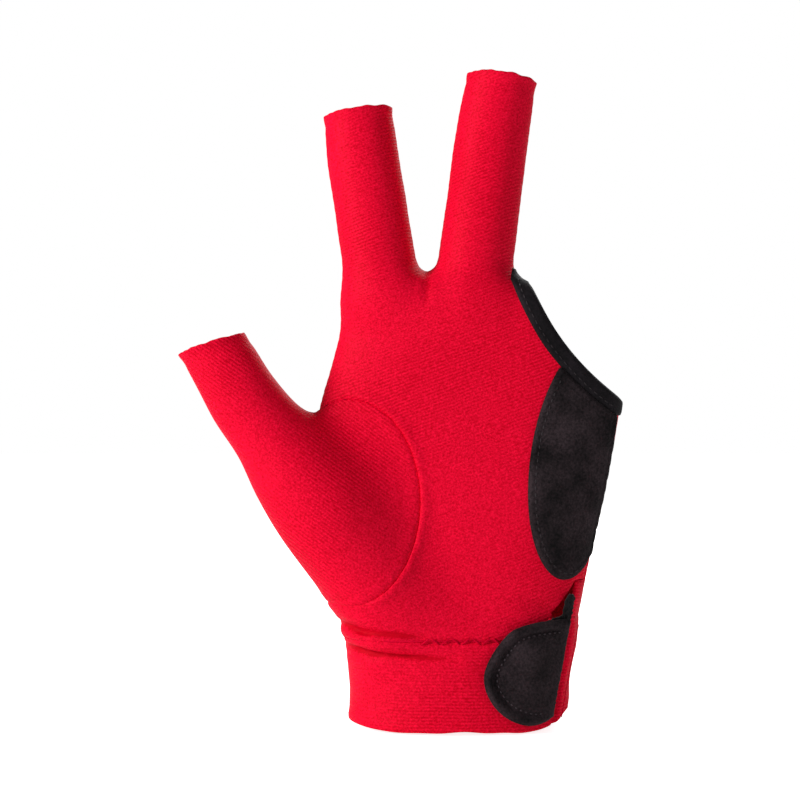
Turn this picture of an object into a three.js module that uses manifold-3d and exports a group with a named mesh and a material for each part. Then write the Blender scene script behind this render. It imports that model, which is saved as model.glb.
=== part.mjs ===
// A three-finger billiard glove for the left hand, standing as if a hand filled it. Millimetres, +Z towards the
// fingertips, palm towards -Y, thumb towards -X. The origin is the middle of the wrist opening.
//
// The glove follows one closed skin, the surface that its cloth lies on. The skin is a smooth union of a hand trunk
// and three fingers, each given by a short table of sections. Every piece is a layer of that skin, from one
// distance off it to another, inside a flat outline that is pushed through it like a pastry cutter.
import * as THREE from 'three';
import { mergeVertices } from 'three/addons/utils/BufferGeometryUtils.js';
import Module from 'manifold-3d';

// Cloth and trim thicknesses
const clothWall = 1.2;
const seamGap = 0.3;
const bindingLift = 0.7;
const bandLift = 0.8;
const padThickness = 1.1;
const loopThickness = 0.9;
const tabThickness = 1.6;

// Wrist band
const bandHeight = 26;
const bandArch = 6;
const wristWidth = 65;
const wristDepth = 40;
const hemCornerWidth = 10.2;
const hemCornerRise = 5.5;

// Palm, from the band's seam to the crotch between the two fingers
const palmLength = 108;
const palmWidth = 89;
const palmDepth = 28;

// Fingers, measured from the crotch
const indexLength = 48;
const indexWidth = 21.2;
const indexDepth = 19;
const indexLean = 8.8;
const middleLength = 59;
const middleWidth = 21.6;
const middleDepth = 19.6;
const middleLean = -7.6;
const fingerSpacing = 27.8;
const crotchOffset = -7.8;
const webRadius = 8;

// Thumb, measured from the root of its ball at the wrist
const thumbLength = 90;
const thumbWidth = 20.6;
const thumbDepth = 19;
const thumbLean = 33.6;
const thumbTilt = 3;
const thumbRimSlant = 15;
const ballWidth = 27.5;
const ballDepth = 27;
const ballForward = 9;
const thumbBlend = 16.5;

// Thumb seam on the palm: an oval round the ball of the thumb
const ballSeamWidth = 42;
const ballSeamHeight = 60;
const ballSeamShift = 0.443;

// Opening for the ring and little fingers
const openingDrop = 37;
const openingReach = 28.4;
const openingHollow = 4;
const bindingWidth = 4.8;

// Heel pad, wrist slit and closure
const padWidth = 20;
const padDrop = 62;
const slitHeight = 43;
const slitWidth = 6;
const slitFootWidth = 1;
const slitLean = 0.193;
const stripWidth = 3.2;
const tabWidth = 25.5;
const tabHeight = 29.6;
const tabHem = 2.2;
const loopHeight = 34.5;

// Where the palm cloth and the back cloth meet, as a distance behind the middle of the hand
const fingerSeamBack = 1.5;
const sideSeamFront = 5;

// Size of the skin's facets
const facet = new THREE.Vector3(4.7, 4.7, 6.8);

const palmTop = bandHeight + palmLength;
const halfPalm = palmWidth / 2;
const up = new THREE.Vector3(0, 0, 1);
const farAway = 400;
const footDrop = 12;

// Half widths towards the thumb and towards the little finger, and the half depth, as shares of half the wrist's
// width and depth. "at" is a share of the band's height.
const wristSections = [
  { at: -0.5, thumbSide: 0.94, outerSide: 1.0, depth: 1.0 },
  { at: 0.0, thumbSide: 0.935, outerSide: 1.01, depth: 1.0 },
  { at: 0.5, thumbSide: 0.93, outerSide: 1.02, depth: 0.97 },
  { at: 1.0, thumbSide: 0.94, outerSide: 1.1, depth: 0.93 },
];

// The same for the palm, as shares of half the palm's width and depth. "at" is a share of the palm's length.
const palmSections = [
  { at: 0.13, thumbSide: 0.745, outerSide: 0.865, depth: 1.22 },
  { at: 0.27, thumbSide: 0.82, outerSide: 0.935, depth: 1.12 },
  { at: 0.42, thumbSide: 0.87, outerSide: 1.02, depth: 1.05 },
  { at: 0.56, thumbSide: 0.87, outerSide: 1.085, depth: 1.0 },
  { at: 0.66, thumbSide: 0.86, outerSide: 1.115, depth: 0.96 },
  { at: 0.77, thumbSide: 0.795, outerSide: 1.1, depth: 0.92 },
  { at: 0.88, thumbSide: 0.725, outerSide: 1.06, depth: 0.86 },
  { at: 1.0, thumbSide: 0.68, outerSide: 1.0, depth: 0.78 },
];

// Finger sections as shares of each finger's own length, half width and half depth. "sway" bends the finger sideways.
const fingerSections = [
  { at: -0.3, width: 1.02, depth: 1.05, sway: 0 },
  { at: 0.0, width: 1.02, depth: 1.03, sway: 0 },
  { at: 0.35, width: 1.0, depth: 1.0, sway: 0.0 },
  { at: 0.75, width: 0.985, depth: 0.97, sway: 0.0 },
  { at: 1.0, width: 0.94, depth: 0.94, sway: 0.01 },
  { at: 1.2, width: 0.92, depth: 0.92, sway: 0.02 },
];

// Thumb sections: "tube" takes its share of the finger tube's size and "ball" its share of the ball's.
const thumbSections = [
  { at: -0.1, tube: 0, ball: 0.66, depth: 0.9, sway: 0 },
  { at: 0.1, tube: 0, ball: 0.86, depth: 1.0, sway: 0 },
  { at: 0.32, tube: 0, ball: 1.05, depth: 1.0, sway: 0 },
  { at: 0.5, tube: 0.34, ball: 0.7, depth: 0.98, sway: -0.008 },
  { at: 0.64, tube: 0.75, ball: 0.24, depth: 0.97, sway: -0.01 },
  { at: 0.8, tube: 1.03, ball: 0, depth: 0.98, sway: -0.012 },
  { at: 0.92, tube: 0.98, ball: 0, depth: 0.96, sway: -0.004 },
  { at: 1.0, tube: 0.93, ball: 0, depth: 0.92, sway: -0.002 },
  { at: 1.2, tube: 0.9, ball: 0, depth: 0.9, sway: 0 },
];

// Folds of the cloth: a ridge (or a valley, with a negative rise) between two points, given as shares of half the
// palm's width and of the whole height up to the crotch. "side" is -1 on the palm and 1 on the back.
const folds = [
  { side: -1, fromX: -0.8, fromZ: 0.235, toX: -0.45, toZ: 0.215, spread: 2.6, rise: -0.9 },
  { side: -1, fromX: -0.78, fromZ: 0.205, toX: -0.3, toZ: 0.19, spread: 2.4, rise: 0.9 },
  { side: -1, fromX: -0.75, fromZ: 0.17, toX: -0.2, toZ: 0.165, spread: 2.4, rise: -0.8 },
  { side: 1, fromX: -0.8, fromZ: 0.25, toX: -0.5, toZ: 0.34, spread: 3, rise: 0.9 },
  { side: 1, fromX: -0.92, fromZ: 0.69, toX: -1.15, toZ: 0.36, spread: 3.4, rise: -1.1 },
  { side: 1, fromX: -0.95, fromZ: 0.69, toX: -1.4, toZ: 0.52, spread: 3, rise: -0.9 },
];

// A smooth curve through one column of numbers for each name, along the rows' "at".
function sectionCurve(rows, names) {
  const stations = rows.map((row) => row.at);
  const values = rows.flatMap((row) => names.map((name) => row[name]));
  const curve = new THREE.CubicInterpolant(stations, values, names.length);
  const first = stations[0];
  const last = stations[stations.length - 1];
  return (at) => curve.evaluate(THREE.MathUtils.clamp(at, first, last));
}

// Distance from a point to an oval with these half sizes, exact on the oval itself.
function ovalDistance(across, deep, halfWidth, halfDepth, corner) {
  const u = Math.abs(across) / halfWidth + 1e-6;
  const v = Math.abs(deep) / halfDepth + 1e-6;
  const level = (u ** corner + v ** corner) ** (1 / corner);
  const slope = Math.hypot(u ** (corner - 1) / halfWidth, v ** (corner - 1) / halfDepth);
  return (level - 1) / (slope * level ** (1 - corner));
}

function smoothMin(a, b, radius) {
  const near = Math.max(radius - Math.abs(a - b), 0) / radius;
  return Math.min(a, b) - (near * near * radius) / 4;
}

function smoothMax(a, b, radius) {
  return -smoothMin(-a, -b, radius);
}

// The trunk: wrist and palm in one column of sections.
function makeTrunk() {
  const rows = [];
  for (const { at, thumbSide, outerSide, depth } of wristSections) {
    const halfWrist = wristWidth / 2;
    rows.push({
      at: at * bandHeight, thumbSide: thumbSide * halfWrist, outerSide: outerSide * halfWrist,
      depth: (depth * wristDepth) / 2, corner: 2.2,
    });
  }
  for (const { at, thumbSide, outerSide, depth } of palmSections) {
    rows.push({
      at: bandHeight + at * palmLength, thumbSide: thumbSide * halfPalm, outerSide: outerSide * halfPalm,
      depth: (depth * palmDepth) / 2, corner: 2.5,
    });
  }
  const sectionAt = sectionCurve(rows, ['thumbSide', 'outerSide', 'depth', 'corner']);
  const endRadius = 8;
  const topSink = 4;
  return ({ x, y, z }) => {
    const [thumbSide, outerSide, depth, corner] = sectionAt(z);
    const centre = (outerSide - thumbSide) / 2;
    const halfWidth = (outerSide + thumbSide) / 2;
    const side = ovalDistance(x - centre, y, halfWidth, depth, corner);
    return smoothMax(smoothMax(side, z - palmTop + topSink, endRadius), -footDrop - z, endRadius);
  };
}

// A finger: an oval tube round a line that leaves "root" and leans from +Z by "lean" degrees towards the thumb and
// "tilt" degrees towards the palm. Its rim is cut square, or "rimSlant" degrees off square.
function makeFinger({ root, length, lean, tilt, rimSlant = 0, rows }) {
  const turn = new THREE.Euler(THREE.MathUtils.degToRad(tilt), THREE.MathUtils.degToRad(-lean), 0, 'YXZ');
  const frame = new THREE.Matrix4().makeRotationFromEuler(turn).setPosition(root);
  const toFinger = frame.clone().invert();
  const sectionAt = sectionCurve(rows, ['halfWidth', 'halfDepth', 'sway']);
  const overrun = 9;
  const rootDrop = -rows[0].at * 0.8;
  const point = new THREE.Vector3();
  const distance = (p) => {
    point.copy(p).applyMatrix4(toFinger);
    const [halfWidth, halfDepth, sway] = sectionAt(point.z);
    const side = ovalDistance(point.x - sway, point.y, halfWidth, halfDepth, 2.1);
    return smoothMax(smoothMax(side, point.z - length - overrun, 6), -rootDrop - point.z, 8);
  };
  return { distance, frame, length, rimSlant };
}

function fingerRows(length, width, depth) {
  return fingerSections.map((row) => ({
    at: row.at * length,
    halfWidth: (row.width * width) / 2,
    halfDepth: (row.depth * depth) / 2,
    sway: row.sway * length,
  }));
}

const trunk = makeTrunk();
const index = makeFinger({
  root: new THREE.Vector3(crotchOffset - fingerSpacing / 2, 0, palmTop),
  length: indexLength, lean: indexLean, tilt: 0, rows: fingerRows(indexLength, indexWidth, indexDepth),
});
const middle = makeFinger({
  root: new THREE.Vector3(crotchOffset + fingerSpacing / 2, 0, palmTop),
  length: middleLength, lean: middleLean, tilt: 0, rows: fingerRows(middleLength, middleWidth, middleDepth),
});
const ballRoot = new THREE.Vector3(-0.65 * (wristWidth / 2), -ballForward, bandHeight + 0.105 * palmLength);
const thumb = makeFinger({
  root: ballRoot, length: thumbLength, lean: thumbLean, tilt: thumbTilt, rimSlant: thumbRimSlant,
  rows: thumbSections.map((row) => ({
    at: row.at * thumbLength,
    halfWidth: (row.tube * thumbWidth + row.ball * ballWidth) / 2,
    halfDepth: (row.depth * (row.tube * thumbDepth + row.ball * ballDepth)) / 2,
    sway: row.sway * thumbLength,
  })),
});

// How far the folds lift the cloth at a point.
function foldLift({ x, y, z }) {
  let lift = 0;
  for (const { side, fromX, fromZ, toX, toZ, spread, rise } of folds) {
    if (side * y < 0) continue;
    const ax = fromX * halfPalm;
    const az = fromZ * palmTop;
    const bx = toX * halfPalm - ax;
    const bz = toZ * palmTop - az;
    const along = THREE.MathUtils.clamp(((x - ax) * bx + (z - az) * bz) / (bx * bx + bz * bz), 0, 1);
    const away = Math.hypot(x - ax - along * bx, z - az - along * bz);
    const fade = Math.min(1, Math.abs(y) / 4) * Math.sin(Math.PI * (0.12 + 0.76 * along));
    lift += rise * fade * Math.exp(-((away / spread) ** 2));
  }
  return lift;
}

// Distance off the skin: negative inside the hand, positive outside.
function skinDistance(p) {
  const fingers = smoothMin(index.distance(p), middle.distance(p), webRadius);
  const hand = smoothMin(trunk(p), fingers, 9);
  return smoothMin(hand, thumb.distance(p), thumbBlend) - foldLift(p);
}

function skinSlope(p, step = 0.2) {
  const slope = new THREE.Vector3();
  const probe = new THREE.Vector3();
  for (const axis of ['x', 'y', 'z']) {
    probe.copy(p)[axis] += step;
    const ahead = skinDistance(probe);
    probe[axis] -= 2 * step;
    slope[axis] = (ahead - skinDistance(probe)) / (2 * step);
  }
  return slope;
}

// The skin as one closed mesh: a vertex for each grid cell that the surface crosses, drawn on to the surface, and a
// quad for each grid edge that crosses it. Returns the vertices, their outward normals and the triangles.
function meshSkin() {
  const low = new THREE.Vector3(0, 0, -footDrop - 2 * facet.z);
  const high = new THREE.Vector3(halfPalm + 16, 30, palmTop + middleLength + 22);
  low.x = -thumbLength * Math.sin(THREE.MathUtils.degToRad(thumbLean)) - wristWidth / 2 - 16;
  low.x = crotchOffset - (Math.ceil((crotchOffset - low.x) / facet.x) + 0.5) * facet.x;
  low.y = -Math.max(wristDepth / 2, ballForward + ballDepth / 2 + thumbLength * 0.06) - 8;
  low.y = -Math.ceil(-low.y / facet.y) * facet.y;
  high.y = wristDepth / 2 + 8;
  const count = ['x', 'y', 'z'].map((axis) => Math.ceil((high[axis] - low[axis]) / facet[axis]) + 1);
  const [nx, ny, nz] = count;
  const node = (i, j, k) => (k * ny + j) * nx + i;
  const place = (i, j, k) => new THREE.Vector3(low.x + i * facet.x, low.y + j * facet.y, low.z + k * facet.z);
  const field = new Float64Array(nx * ny * nz);
  for (let k = 0; k < nz; k++) {
    for (let j = 0; j < ny; j++) {
      for (let i = 0; i < nx; i++) field[node(i, j, k)] = skinDistance(place(i, j, k));
    }
  }

  const corners = [0, 1, 2, 3, 4, 5, 6, 7].map((n) => [n & 1, (n >> 1) & 1, n >> 2]);
  const edges = [];
  for (const bit of [1, 2, 4]) {
    for (let n = 0; n < 8; n++) if (!(n & bit)) edges.push([n, n | bit]);
  }
  const edgeNumber = new Map(edges.map(([from, to], n) => [from * 8 + to, n]));
  const faces = [1, 2, 4].flatMap((bit) => [0, bit].map((side) => (
    edges.map((_, n) => n).filter((n) => edges[n].every((corner) => (corner & bit) === side))
  )));

  // A sheet of the surface in a cell is a ring of crossed edges. On a face that is crossed four times, the two
  // edges at an inside corner go together, so that the sheets of neighbouring cells always agree.
  const sheetsOf = (value) => {
    const crossed = edges.map(([from, to]) => value[from] < 0 !== value[to] < 0);
    const sheet = edges.map((_, n) => n);
    const find = (n) => (sheet[n] === n ? n : find(sheet[n]));
    for (const face of faces) {
      const hit = face.filter((n) => crossed[n]);
      for (const one of hit) {
        for (const other of hit) {
          const shared = edges[one].find((corner) => edges[other].includes(corner));
          const together = hit.length === 2 || (shared !== undefined && value[shared] < 0);
          if (one < other && together) sheet[find(other)] = find(one);
        }
      }
    }
    return edges.map((_, n) => (crossed[n] ? find(n) : -1));
  };

  const vertexOf = new Int32Array(nx * ny * nz * 12).fill(-1);
  const points = [];
  const normals = [];
  for (let k = 0; k < nz - 1; k++) {
    for (let j = 0; j < ny - 1; j++) {
      for (let i = 0; i < nx - 1; i++) {
        const value = corners.map(([a, b, c]) => field[node(i + a, j + b, k + c)]);
        const inside = value.filter((v) => v < 0).length;
        if (inside === 0 || inside === 8) continue;
        const sheets = sheetsOf(value);
        for (const sheet of new Set(sheets.filter((n) => n >= 0))) {
          const members = edges.map((_, n) => n).filter((n) => sheets[n] === sheet);
          const point = new THREE.Vector3();
          for (const n of members) {
            const [from, to] = edges[n];
            const start = place(i + corners[from][0], j + corners[from][1], k + corners[from][2]);
            const end = place(i + corners[to][0], j + corners[to][1], k + corners[to][2]);
            point.add(start.lerp(end, value[from] / (value[from] - value[to])));
            vertexOf[node(i, j, k) * 12 + n] = points.length;
          }
          point.divideScalar(members.length);
          for (let pass = 0; pass < 3; pass++) {
            const slope = skinSlope(point);
            point.addScaledVector(slope, -skinDistance(point) / Math.max(slope.lengthSq(), 0.1));
          }
          points.push(point);
          normals.push(skinSlope(point, 0.8).normalize());
        }
      }
    }
  }

  const triangles = [];
  const quad = (ring) => {
    const [p, q, r, s] = ring.map((n) => points[n]);
    const shift = p.distanceTo(r) <= q.distanceTo(s) ? 0 : 1;
    const [w, x, y, z] = [0, 1, 2, 3].map((n) => ring[(n + shift) % 4]);
    triangles.push(w, x, y, w, y, z);
  };
  // The quad round the grid edge that leaves (i, j, k) along an axis joins the four cells that share the edge.
  const turns = [[1, 1], [0, 1], [0, 0], [1, 0]];
  for (let k = 1; k < nz - 1; k++) {
    for (let j = 1; j < ny - 1; j++) {
      for (let i = 1; i < nx - 1; i++) {
        const here = field[node(i, j, k)] < 0;
        const ahead = [field[node(i + 1, j, k)], field[node(i, j + 1, k)], field[node(i, j, k + 1)]];
        for (let axis = 0; axis < 3; axis++) {
          if (here === ahead[axis] < 0) continue;
          const second = (axis + 1) % 3;
          const third = (axis + 2) % 3;
          const ring = turns.map(([a, b]) => {
            const back = [0, 0, 0];
            back[second] = a;
            back[third] = b;
            const from = back[0] + 2 * back[1] + 4 * back[2];
            const edge = edgeNumber.get(from * 8 + (from | (1 << axis)));
            return vertexOf[node(i - back[0], j - back[1], k - back[2]) * 12 + edge];
          });
          quad(here ? ring : ring.reverse());
        }
      }
    }
  }
  return { points, normals, triangles };
}

const wasm = await Module();
wasm.setup();

function solidFromGeometry(geometry) {
  geometry.deleteAttribute('normal');
  geometry.deleteAttribute('uv');
  const merged = mergeVertices(geometry, 1e-4);
  return new wasm.Manifold(new wasm.Mesh({
    numProp: 3,
    vertProperties: new Float32Array(merged.attributes.position.array),
    triVerts: new Uint32Array(merged.index.array),
  }));
}

const skin = meshSkin();

// The skin grown by "offset" along its normals, as a solid.
function grownSkin(offset) {
  const vertProperties = new Float32Array(skin.points.length * 3);
  const vertex = new THREE.Vector3();
  skin.points.forEach((point, n) => {
    vertex.copy(point).addScaledVector(skin.normals[n], offset).toArray(vertProperties, 3 * n);
  });
  const triVerts = new Uint32Array(skin.triangles);
  return new wasm.Manifold(new wasm.Mesh({ numProp: 3, vertProperties, triVerts }));
}

function layer(from, to) {
  return grownSkin(to).subtract(grownSkin(from));
}

// A cutter: a closed outline of [x, z] points pushed through the hand along Y.
function cutter(outline, yFrom = -farAway, yTo = farAway) {
  const shape = new THREE.Shape(outline.map(([x, z]) => new THREE.Vector2(x, z)));
  const geometry = new THREE.ExtrudeGeometry(shape, { depth: yTo - yFrom, bevelEnabled: false });
  return solidFromGeometry(geometry.translate(0, 0, -yTo).rotateX(Math.PI / 2));
}

// Everything behind the seam between the palm cloth and the back cloth, moved back by "shift". The seam runs
// behind the middle of the fingers and comes forward round the outer side of the hand.
function behindSeam(shift = 0) {
  const bend = halfPalm * 0.42;
  const shape = new THREE.Shape();
  shape.moveTo(-farAway, fingerSeamBack + shift);
  shape.lineTo(bend, fingerSeamBack + shift);
  const from = fingerSeamBack + shift;
  const to = shift - sideSeamFront;
  shape.bezierCurveTo(bend * 1.4, from, bend * 1.5, to, bend * 2, to);
  shape.lineTo(farAway, -sideSeamFront + shift);
  shape.lineTo(farAway, farAway);
  shape.lineTo(-farAway, farAway);
  const geometry = new THREE.ExtrudeGeometry(shape, { depth: 2 * farAway, bevelEnabled: false, curveSegments: 8 });
  return solidFromGeometry(geometry.translate(0, 0, -farAway));
}

// The seam at the band's top is level on the palm and arched on the back. This takes all that is between the seam,
// moved up by "shift", and the level "end".
function bandCutter(shift, end) {
  const arched = [-1, -0.75, -0.5, -0.25, 0, 0.25, 0.5, 0.75, 1].map((share) => [
    (share * wristWidth) / 2, bandHeight + bandArch * (1 - share * share) + shift,
  ]);
  const level = bandHeight + shift;
  const ends = [[farAway, level], [farAway, end], [-farAway, end], [-farAway, level]];
  const onPalm = cutter([[-farAway, level], [farAway, level], [farAway, end], [-farAway, end]], -farAway, 0);
  return onPalm.add(cutter([...arched, ...ends], 0, farAway));
}

// Everything beyond a finger's rim.
function beyondTip({ frame, length, rimSlant }) {
  const height = 40;
  const block = new THREE.BoxGeometry(1.6 * indexWidth, 60, height).translate(0, 0, height / 2);
  block.rotateY(THREE.MathUtils.degToRad(rimSlant)).translate(0, 0, length);
  return solidFromGeometry(block.applyMatrix4(frame));
}

// The rim of the opening for the ring and little fingers runs from the outer root of the middle finger down to the
// side of the hand. "inset" moves it into the cloth.
const rimTop = new THREE.Vector2(crotchOffset + fingerSpacing / 2 + middleWidth / 2 + 4.4, palmTop - 1);
const rimEnd = new THREE.Vector2(rimTop.x + openingReach, rimTop.y - openingDrop);
function openingOutline(inset) {
  const middlePoint = rimTop.clone().lerp(rimEnd, 0.5);
  const bow = new THREE.Vector2(rimEnd.y - rimTop.y, rimTop.x - rimEnd.x).normalize().multiplyScalar(2 * openingHollow);
  const rim = new THREE.QuadraticBezierCurve(rimTop, middlePoint.add(bow), rimEnd);
  const edge = rim.getSpacedPoints(12).map((point, n) => {
    const way = rim.getTangentAt(n / 12);
    return [point.x + way.y * inset, point.y - way.x * inset];
  });
  const start = edge[0];
  const end = edge[edge.length - 1];
  const wallX = rimTop.x - 3.4 - inset * 0.1;
  return [
    ...edge,
    [end[0] + 60, end[1] - 20],
    [end[0] + 60, palmTop + 40],
    [wallX + 12, palmTop + 40],
    [wallX + 10, start[1] + 8 + inset * 0.4],
    [wallX, start[1] + 1.5 + inset * 0.4],
  ];
}

// The thumb piece: the oval round the ball of the thumb on the palm, and all that is outside the hand's thumb side.
const crotchOfThumb = [-0.9 * halfPalm, bandHeight + 0.625 * palmLength];
const footOfThumb = [-1.07 * (wristWidth / 2), bandHeight + 0.096 * palmLength];
function thumbFrontOutline(grow) {
  const centre = [crotchOfThumb[0] + (ballSeamShift * ballSeamWidth) / 2, footOfThumb[1] + ballSeamHeight / 2];
  const from = Math.PI - Math.acos(ballSeamShift);
  const to = 1.45 * Math.PI;
  const oval = new THREE.EllipseCurve(
    centre[0], centre[1], ballSeamWidth / 2 + grow, ballSeamHeight / 2 + grow, from, to, true,
  );
  const points = oval.getPoints(28).map(({ x, y }) => [x, y]);
  const bottom = points[points.length - 1][1];
  const left = Math.min(points[0][0], crotchOfThumb[0] + grow) - 0.5;
  const top = Math.max(points[0][1], crotchOfThumb[1] + grow);
  return [...points, [-farAway, bottom], [-farAway, farAway], [left - 0.1 * farAway, farAway], [left, top]];
}

function thumbBackOutline(grow) {
  const [topX, topZ] = crotchOfThumb;
  const [lowX, lowZ] = footOfThumb;
  const height = topZ - lowZ;
  return [
    [-farAway, farAway],
    [topX + grow - 0.1 * farAway, farAway],
    [topX + grow, topZ + grow],
    [topX + 0.5 + grow, lowZ + 0.6 * height],
    [topX - 1.5 + grow, lowZ + 0.25 * height],
    [lowX + grow, lowZ - grow],
    [-farAway, lowZ - grow],
  ];
}

// The wrist slit opens downwards on the palm side near the outer edge, and the band's end lies along it.
const slitTop = [wristWidth * 0.555, slitHeight];
const stripTop = [slitTop[0] - 1.8, bandHeight + 6];
const stripFoot = [stripTop[0] - slitLean * (stripTop[1] + 2), -2];
function slitOutline(grow) {
  return [
    [slitTop[0] + grow, slitTop[1] + grow],
    [slitTop[0] - 0.6 - grow, slitTop[1] + grow],
    [stripTop[0] - slitWidth - grow, stripTop[1] + 2],
    [stripFoot[0] - slitFootWidth - grow, stripFoot[1] - 1],
    [stripFoot[0] + grow, stripFoot[1] - 1],
    [stripTop[0] + grow, stripTop[1]],
  ];
}

// The hem climbs in a round corner at the band's free end, on the palm side and a little way round to the back.
function hemCorner() {
  const corner = (wristWidth / 2) * 1.02;
  const curve = [0, 0.2, 0.4, 0.6, 0.8, 1].map((share) => [
    corner - hemCornerWidth * (1 - share), hemCornerRise * share * share,
  ]);
  const below = -footDrop;
  const outline = [[curve[0][0], below], ...curve, [farAway, hemCornerRise], [farAway, below]];
  return cutter(outline, -farAway, wristDepth * 0.27);
}

// The front edge of the back cloth lies along the slit's outer side, as far up as the slit goes.
function besideSlit(grow) {
  return cutter([
    [stripFoot[0] - slitFootWidth / 3 - grow, stripFoot[1] - 1], [stripTop[0] - slitWidth / 3 - grow, stripTop[1]],
    [slitTop[0] - 0.4 - grow, slitTop[1] + grow], [farAway, slitTop[1] + grow], [farAway, stripFoot[1] - 1],
  ], -farAway, 0);
}

// The closure tab is a D: a straight edge along the band's end and a round end towards the palm.
function tabOutline() {
  const shape = new THREE.Shape();
  const top = tabHem + tabHeight;
  const rightTop = [stripTop[0] - seamGap, top];
  const rightFoot = [stripFoot[0] + slitLean * (tabHem + 4) - seamGap, tabHem + 2];
  const left = rightTop[0] - tabWidth;
  shape.moveTo(rightFoot[0], rightFoot[1]);
  shape.lineTo(rightTop[0], rightTop[1]);
  shape.quadraticCurveTo(left + tabWidth * 0.55, top + 0.2, left + tabWidth * 0.32, top - 2.6);
  shape.bezierCurveTo(left + 5.2, top - 4.8, left, top - 11.5, left, tabHem + tabHeight * 0.46);
  shape.bezierCurveTo(left, tabHem + 8.5, left + 4.4, tabHem + 1.4, left + tabWidth * 0.5, tabHem);
  shape.quadraticCurveTo(rightFoot[0] - 3, tabHem - 0.3, rightFoot[0], rightFoot[1]);
  return shape.getPoints(7).slice(0, -1).map(({ x, y }) => [x, y]);
}

// The hook-and-loop patch lies under the tab, and a narrow corner of it shows above the tab in the slit.
function loopOutline() {
  const right = stripTop[0] - seamGap;
  const left = right - tabWidth * 0.8;
  return [
    [left, tabHem + 5],
    [stripFoot[0] + 1.2, tabHem + 4.5],
    [right, loopHeight - 1.5],
    [right + 1.2, loopHeight + 4.4],
    [right - 0.9, loopHeight + 4.8],
    [right - 2.6, loopHeight - 1.5],
    [left + 5, loopHeight - 5],
    [left, loopHeight - 9.5],
  ];
}

// The heel pad hangs from the binding on the outer half of the palm, as far as the side seam.
function padOutline() {
  const outer = halfPalm * 1.3;
  const top = [halfPalm * 0.7, palmTop - 0.262 * palmLength];
  const left = halfPalm * 1.07 - padWidth - 6;
  const low = top[1] - padDrop;
  const shape = new THREE.Shape();
  shape.moveTo(top[0], top[1]);
  shape.bezierCurveTo(top[0] - 5.5, top[1] - 9, left, top[1] - 22, left, top[1] - padDrop * 0.6);
  shape.bezierCurveTo(left, low + 10, left + 5, low, halfPalm * 0.73, low);
  shape.bezierCurveTo(halfPalm * 0.8, low, halfPalm * 0.86, low + 2, halfPalm * 0.9, low + 6);
  shape.lineTo(outer, low + 16);
  shape.lineTo(outer, top[1]);
  return shape.getPoints(9).map(({ x, y }) => [x, y]);
}

const halfGap = seamGap / 2;
const cloth = layer(-clothWall, 0);
const tips = wasm.Manifold.union([beyondTip(index), beyondTip(middle), beyondTip(thumb)]);
const aboveBand = bandCutter(halfGap, farAway);
const inBand = bandCutter(-halfGap, 0);
const notPalm = behindSeam(-halfGap).add(besideSlit(halfGap));
const ofBack = behindSeam(halfGap).add(besideSlit(-halfGap));
const clothOpening = cutter(openingOutline(bindingWidth + seamGap));
const slit = cutter(slitOutline(0), -farAway, 0);

const shell = cloth.intersect(aboveBand).subtract(tips).subtract(clothOpening).subtract(slit);
const thumbFront = (grow) => cutter(thumbFrontOutline(grow)).subtract(behindSeam(0));
const thumbBack = (grow) => cutter(thumbBackOutline(grow)).intersect(behindSeam(0));
const thumbRegion = thumbFront(-halfGap).add(thumbBack(-halfGap));
const thumbRoom = thumbFront(halfGap).add(thumbBack(halfGap));
const handCloth = shell.subtract(thumbRoom);

const openingInBinding = cutter(openingOutline(0));
const bindingBand = cutter(openingOutline(bindingWidth)).subtract(openingInBinding);

// The band is doubled cloth, and its free end beside the slit is folded over once more.
const stripBox = cutter([
  [stripFoot[0], -1], [stripFoot[0] + stripWidth, -1], [stripTop[0] + stripWidth, stripTop[1]], stripTop,
], -farAway, 0);
const band = layer(-clothWall, bandLift).intersect(inBand).subtract(slit);
const strip = layer(-0.2, bandLift + loopThickness).intersect(inBand).intersect(stripBox);
const wristBand = band.add(strip).subtract(hemCorner());

const pieces = {
  palm_panel: handCloth.subtract(notPalm),
  back_panel: handCloth.intersect(ofBack),
  thumb_panel: shell.intersect(thumbRegion),
  edge_binding: layer(-clothWall - bindingLift, bindingLift).intersect(bindingBand),
  heel_pad: layer(seamGap, seamGap + padThickness).intersect(cutter(padOutline(), -farAway, 0))
    .subtract(behindSeam(-seamGap)).subtract(clothOpening),
  wrist_band: wristBand,
  loop_patch: layer(bandLift + seamGap, bandLift + seamGap + loopThickness).intersect(cutter(loopOutline(), -farAway, 0)),
  closure_tab: layer(bandLift + 2 * seamGap + loopThickness, bandLift + 2 * seamGap + loopThickness + tabThickness)
    .intersect(cutter(tabOutline(), -farAway, 0)),
};

const redCloth = new THREE.MeshStandardMaterial({ color: 0xd80a2e, roughness: 0.75, metalness: 0 });
const blackElastic = new THREE.MeshStandardMaterial({ color: 0x17161c, roughness: 0.85, metalness: 0 });
const blackSuede = new THREE.MeshStandardMaterial({ color: 0x262024, roughness: 0.95, metalness: 0 });
const blackLoop = new THREE.MeshStandardMaterial({ color: 0x101012, roughness: 1, metalness: 0 });

function makePiece(name, material) {
  const { vertProperties, triVerts } = pieces[name].getMesh();
  const geometry = new THREE.BufferGeometry();
  geometry.setAttribute('position', new THREE.Float32BufferAttribute(vertProperties, 3));
  geometry.setIndex(new THREE.Uint32BufferAttribute(triVerts, 1));
  geometry.computeVertexNormals();
  const mesh = new THREE.Mesh(geometry, material);
  mesh.name = name;
  return mesh;
}

const handCover = new THREE.Group();
handCover.add(
  makePiece('palm_panel', redCloth),
  makePiece('back_panel', redCloth),
  makePiece('thumb_panel', redCloth),
  makePiece('edge_binding', blackElastic),
  makePiece('heel_pad', blackSuede),
);

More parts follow.
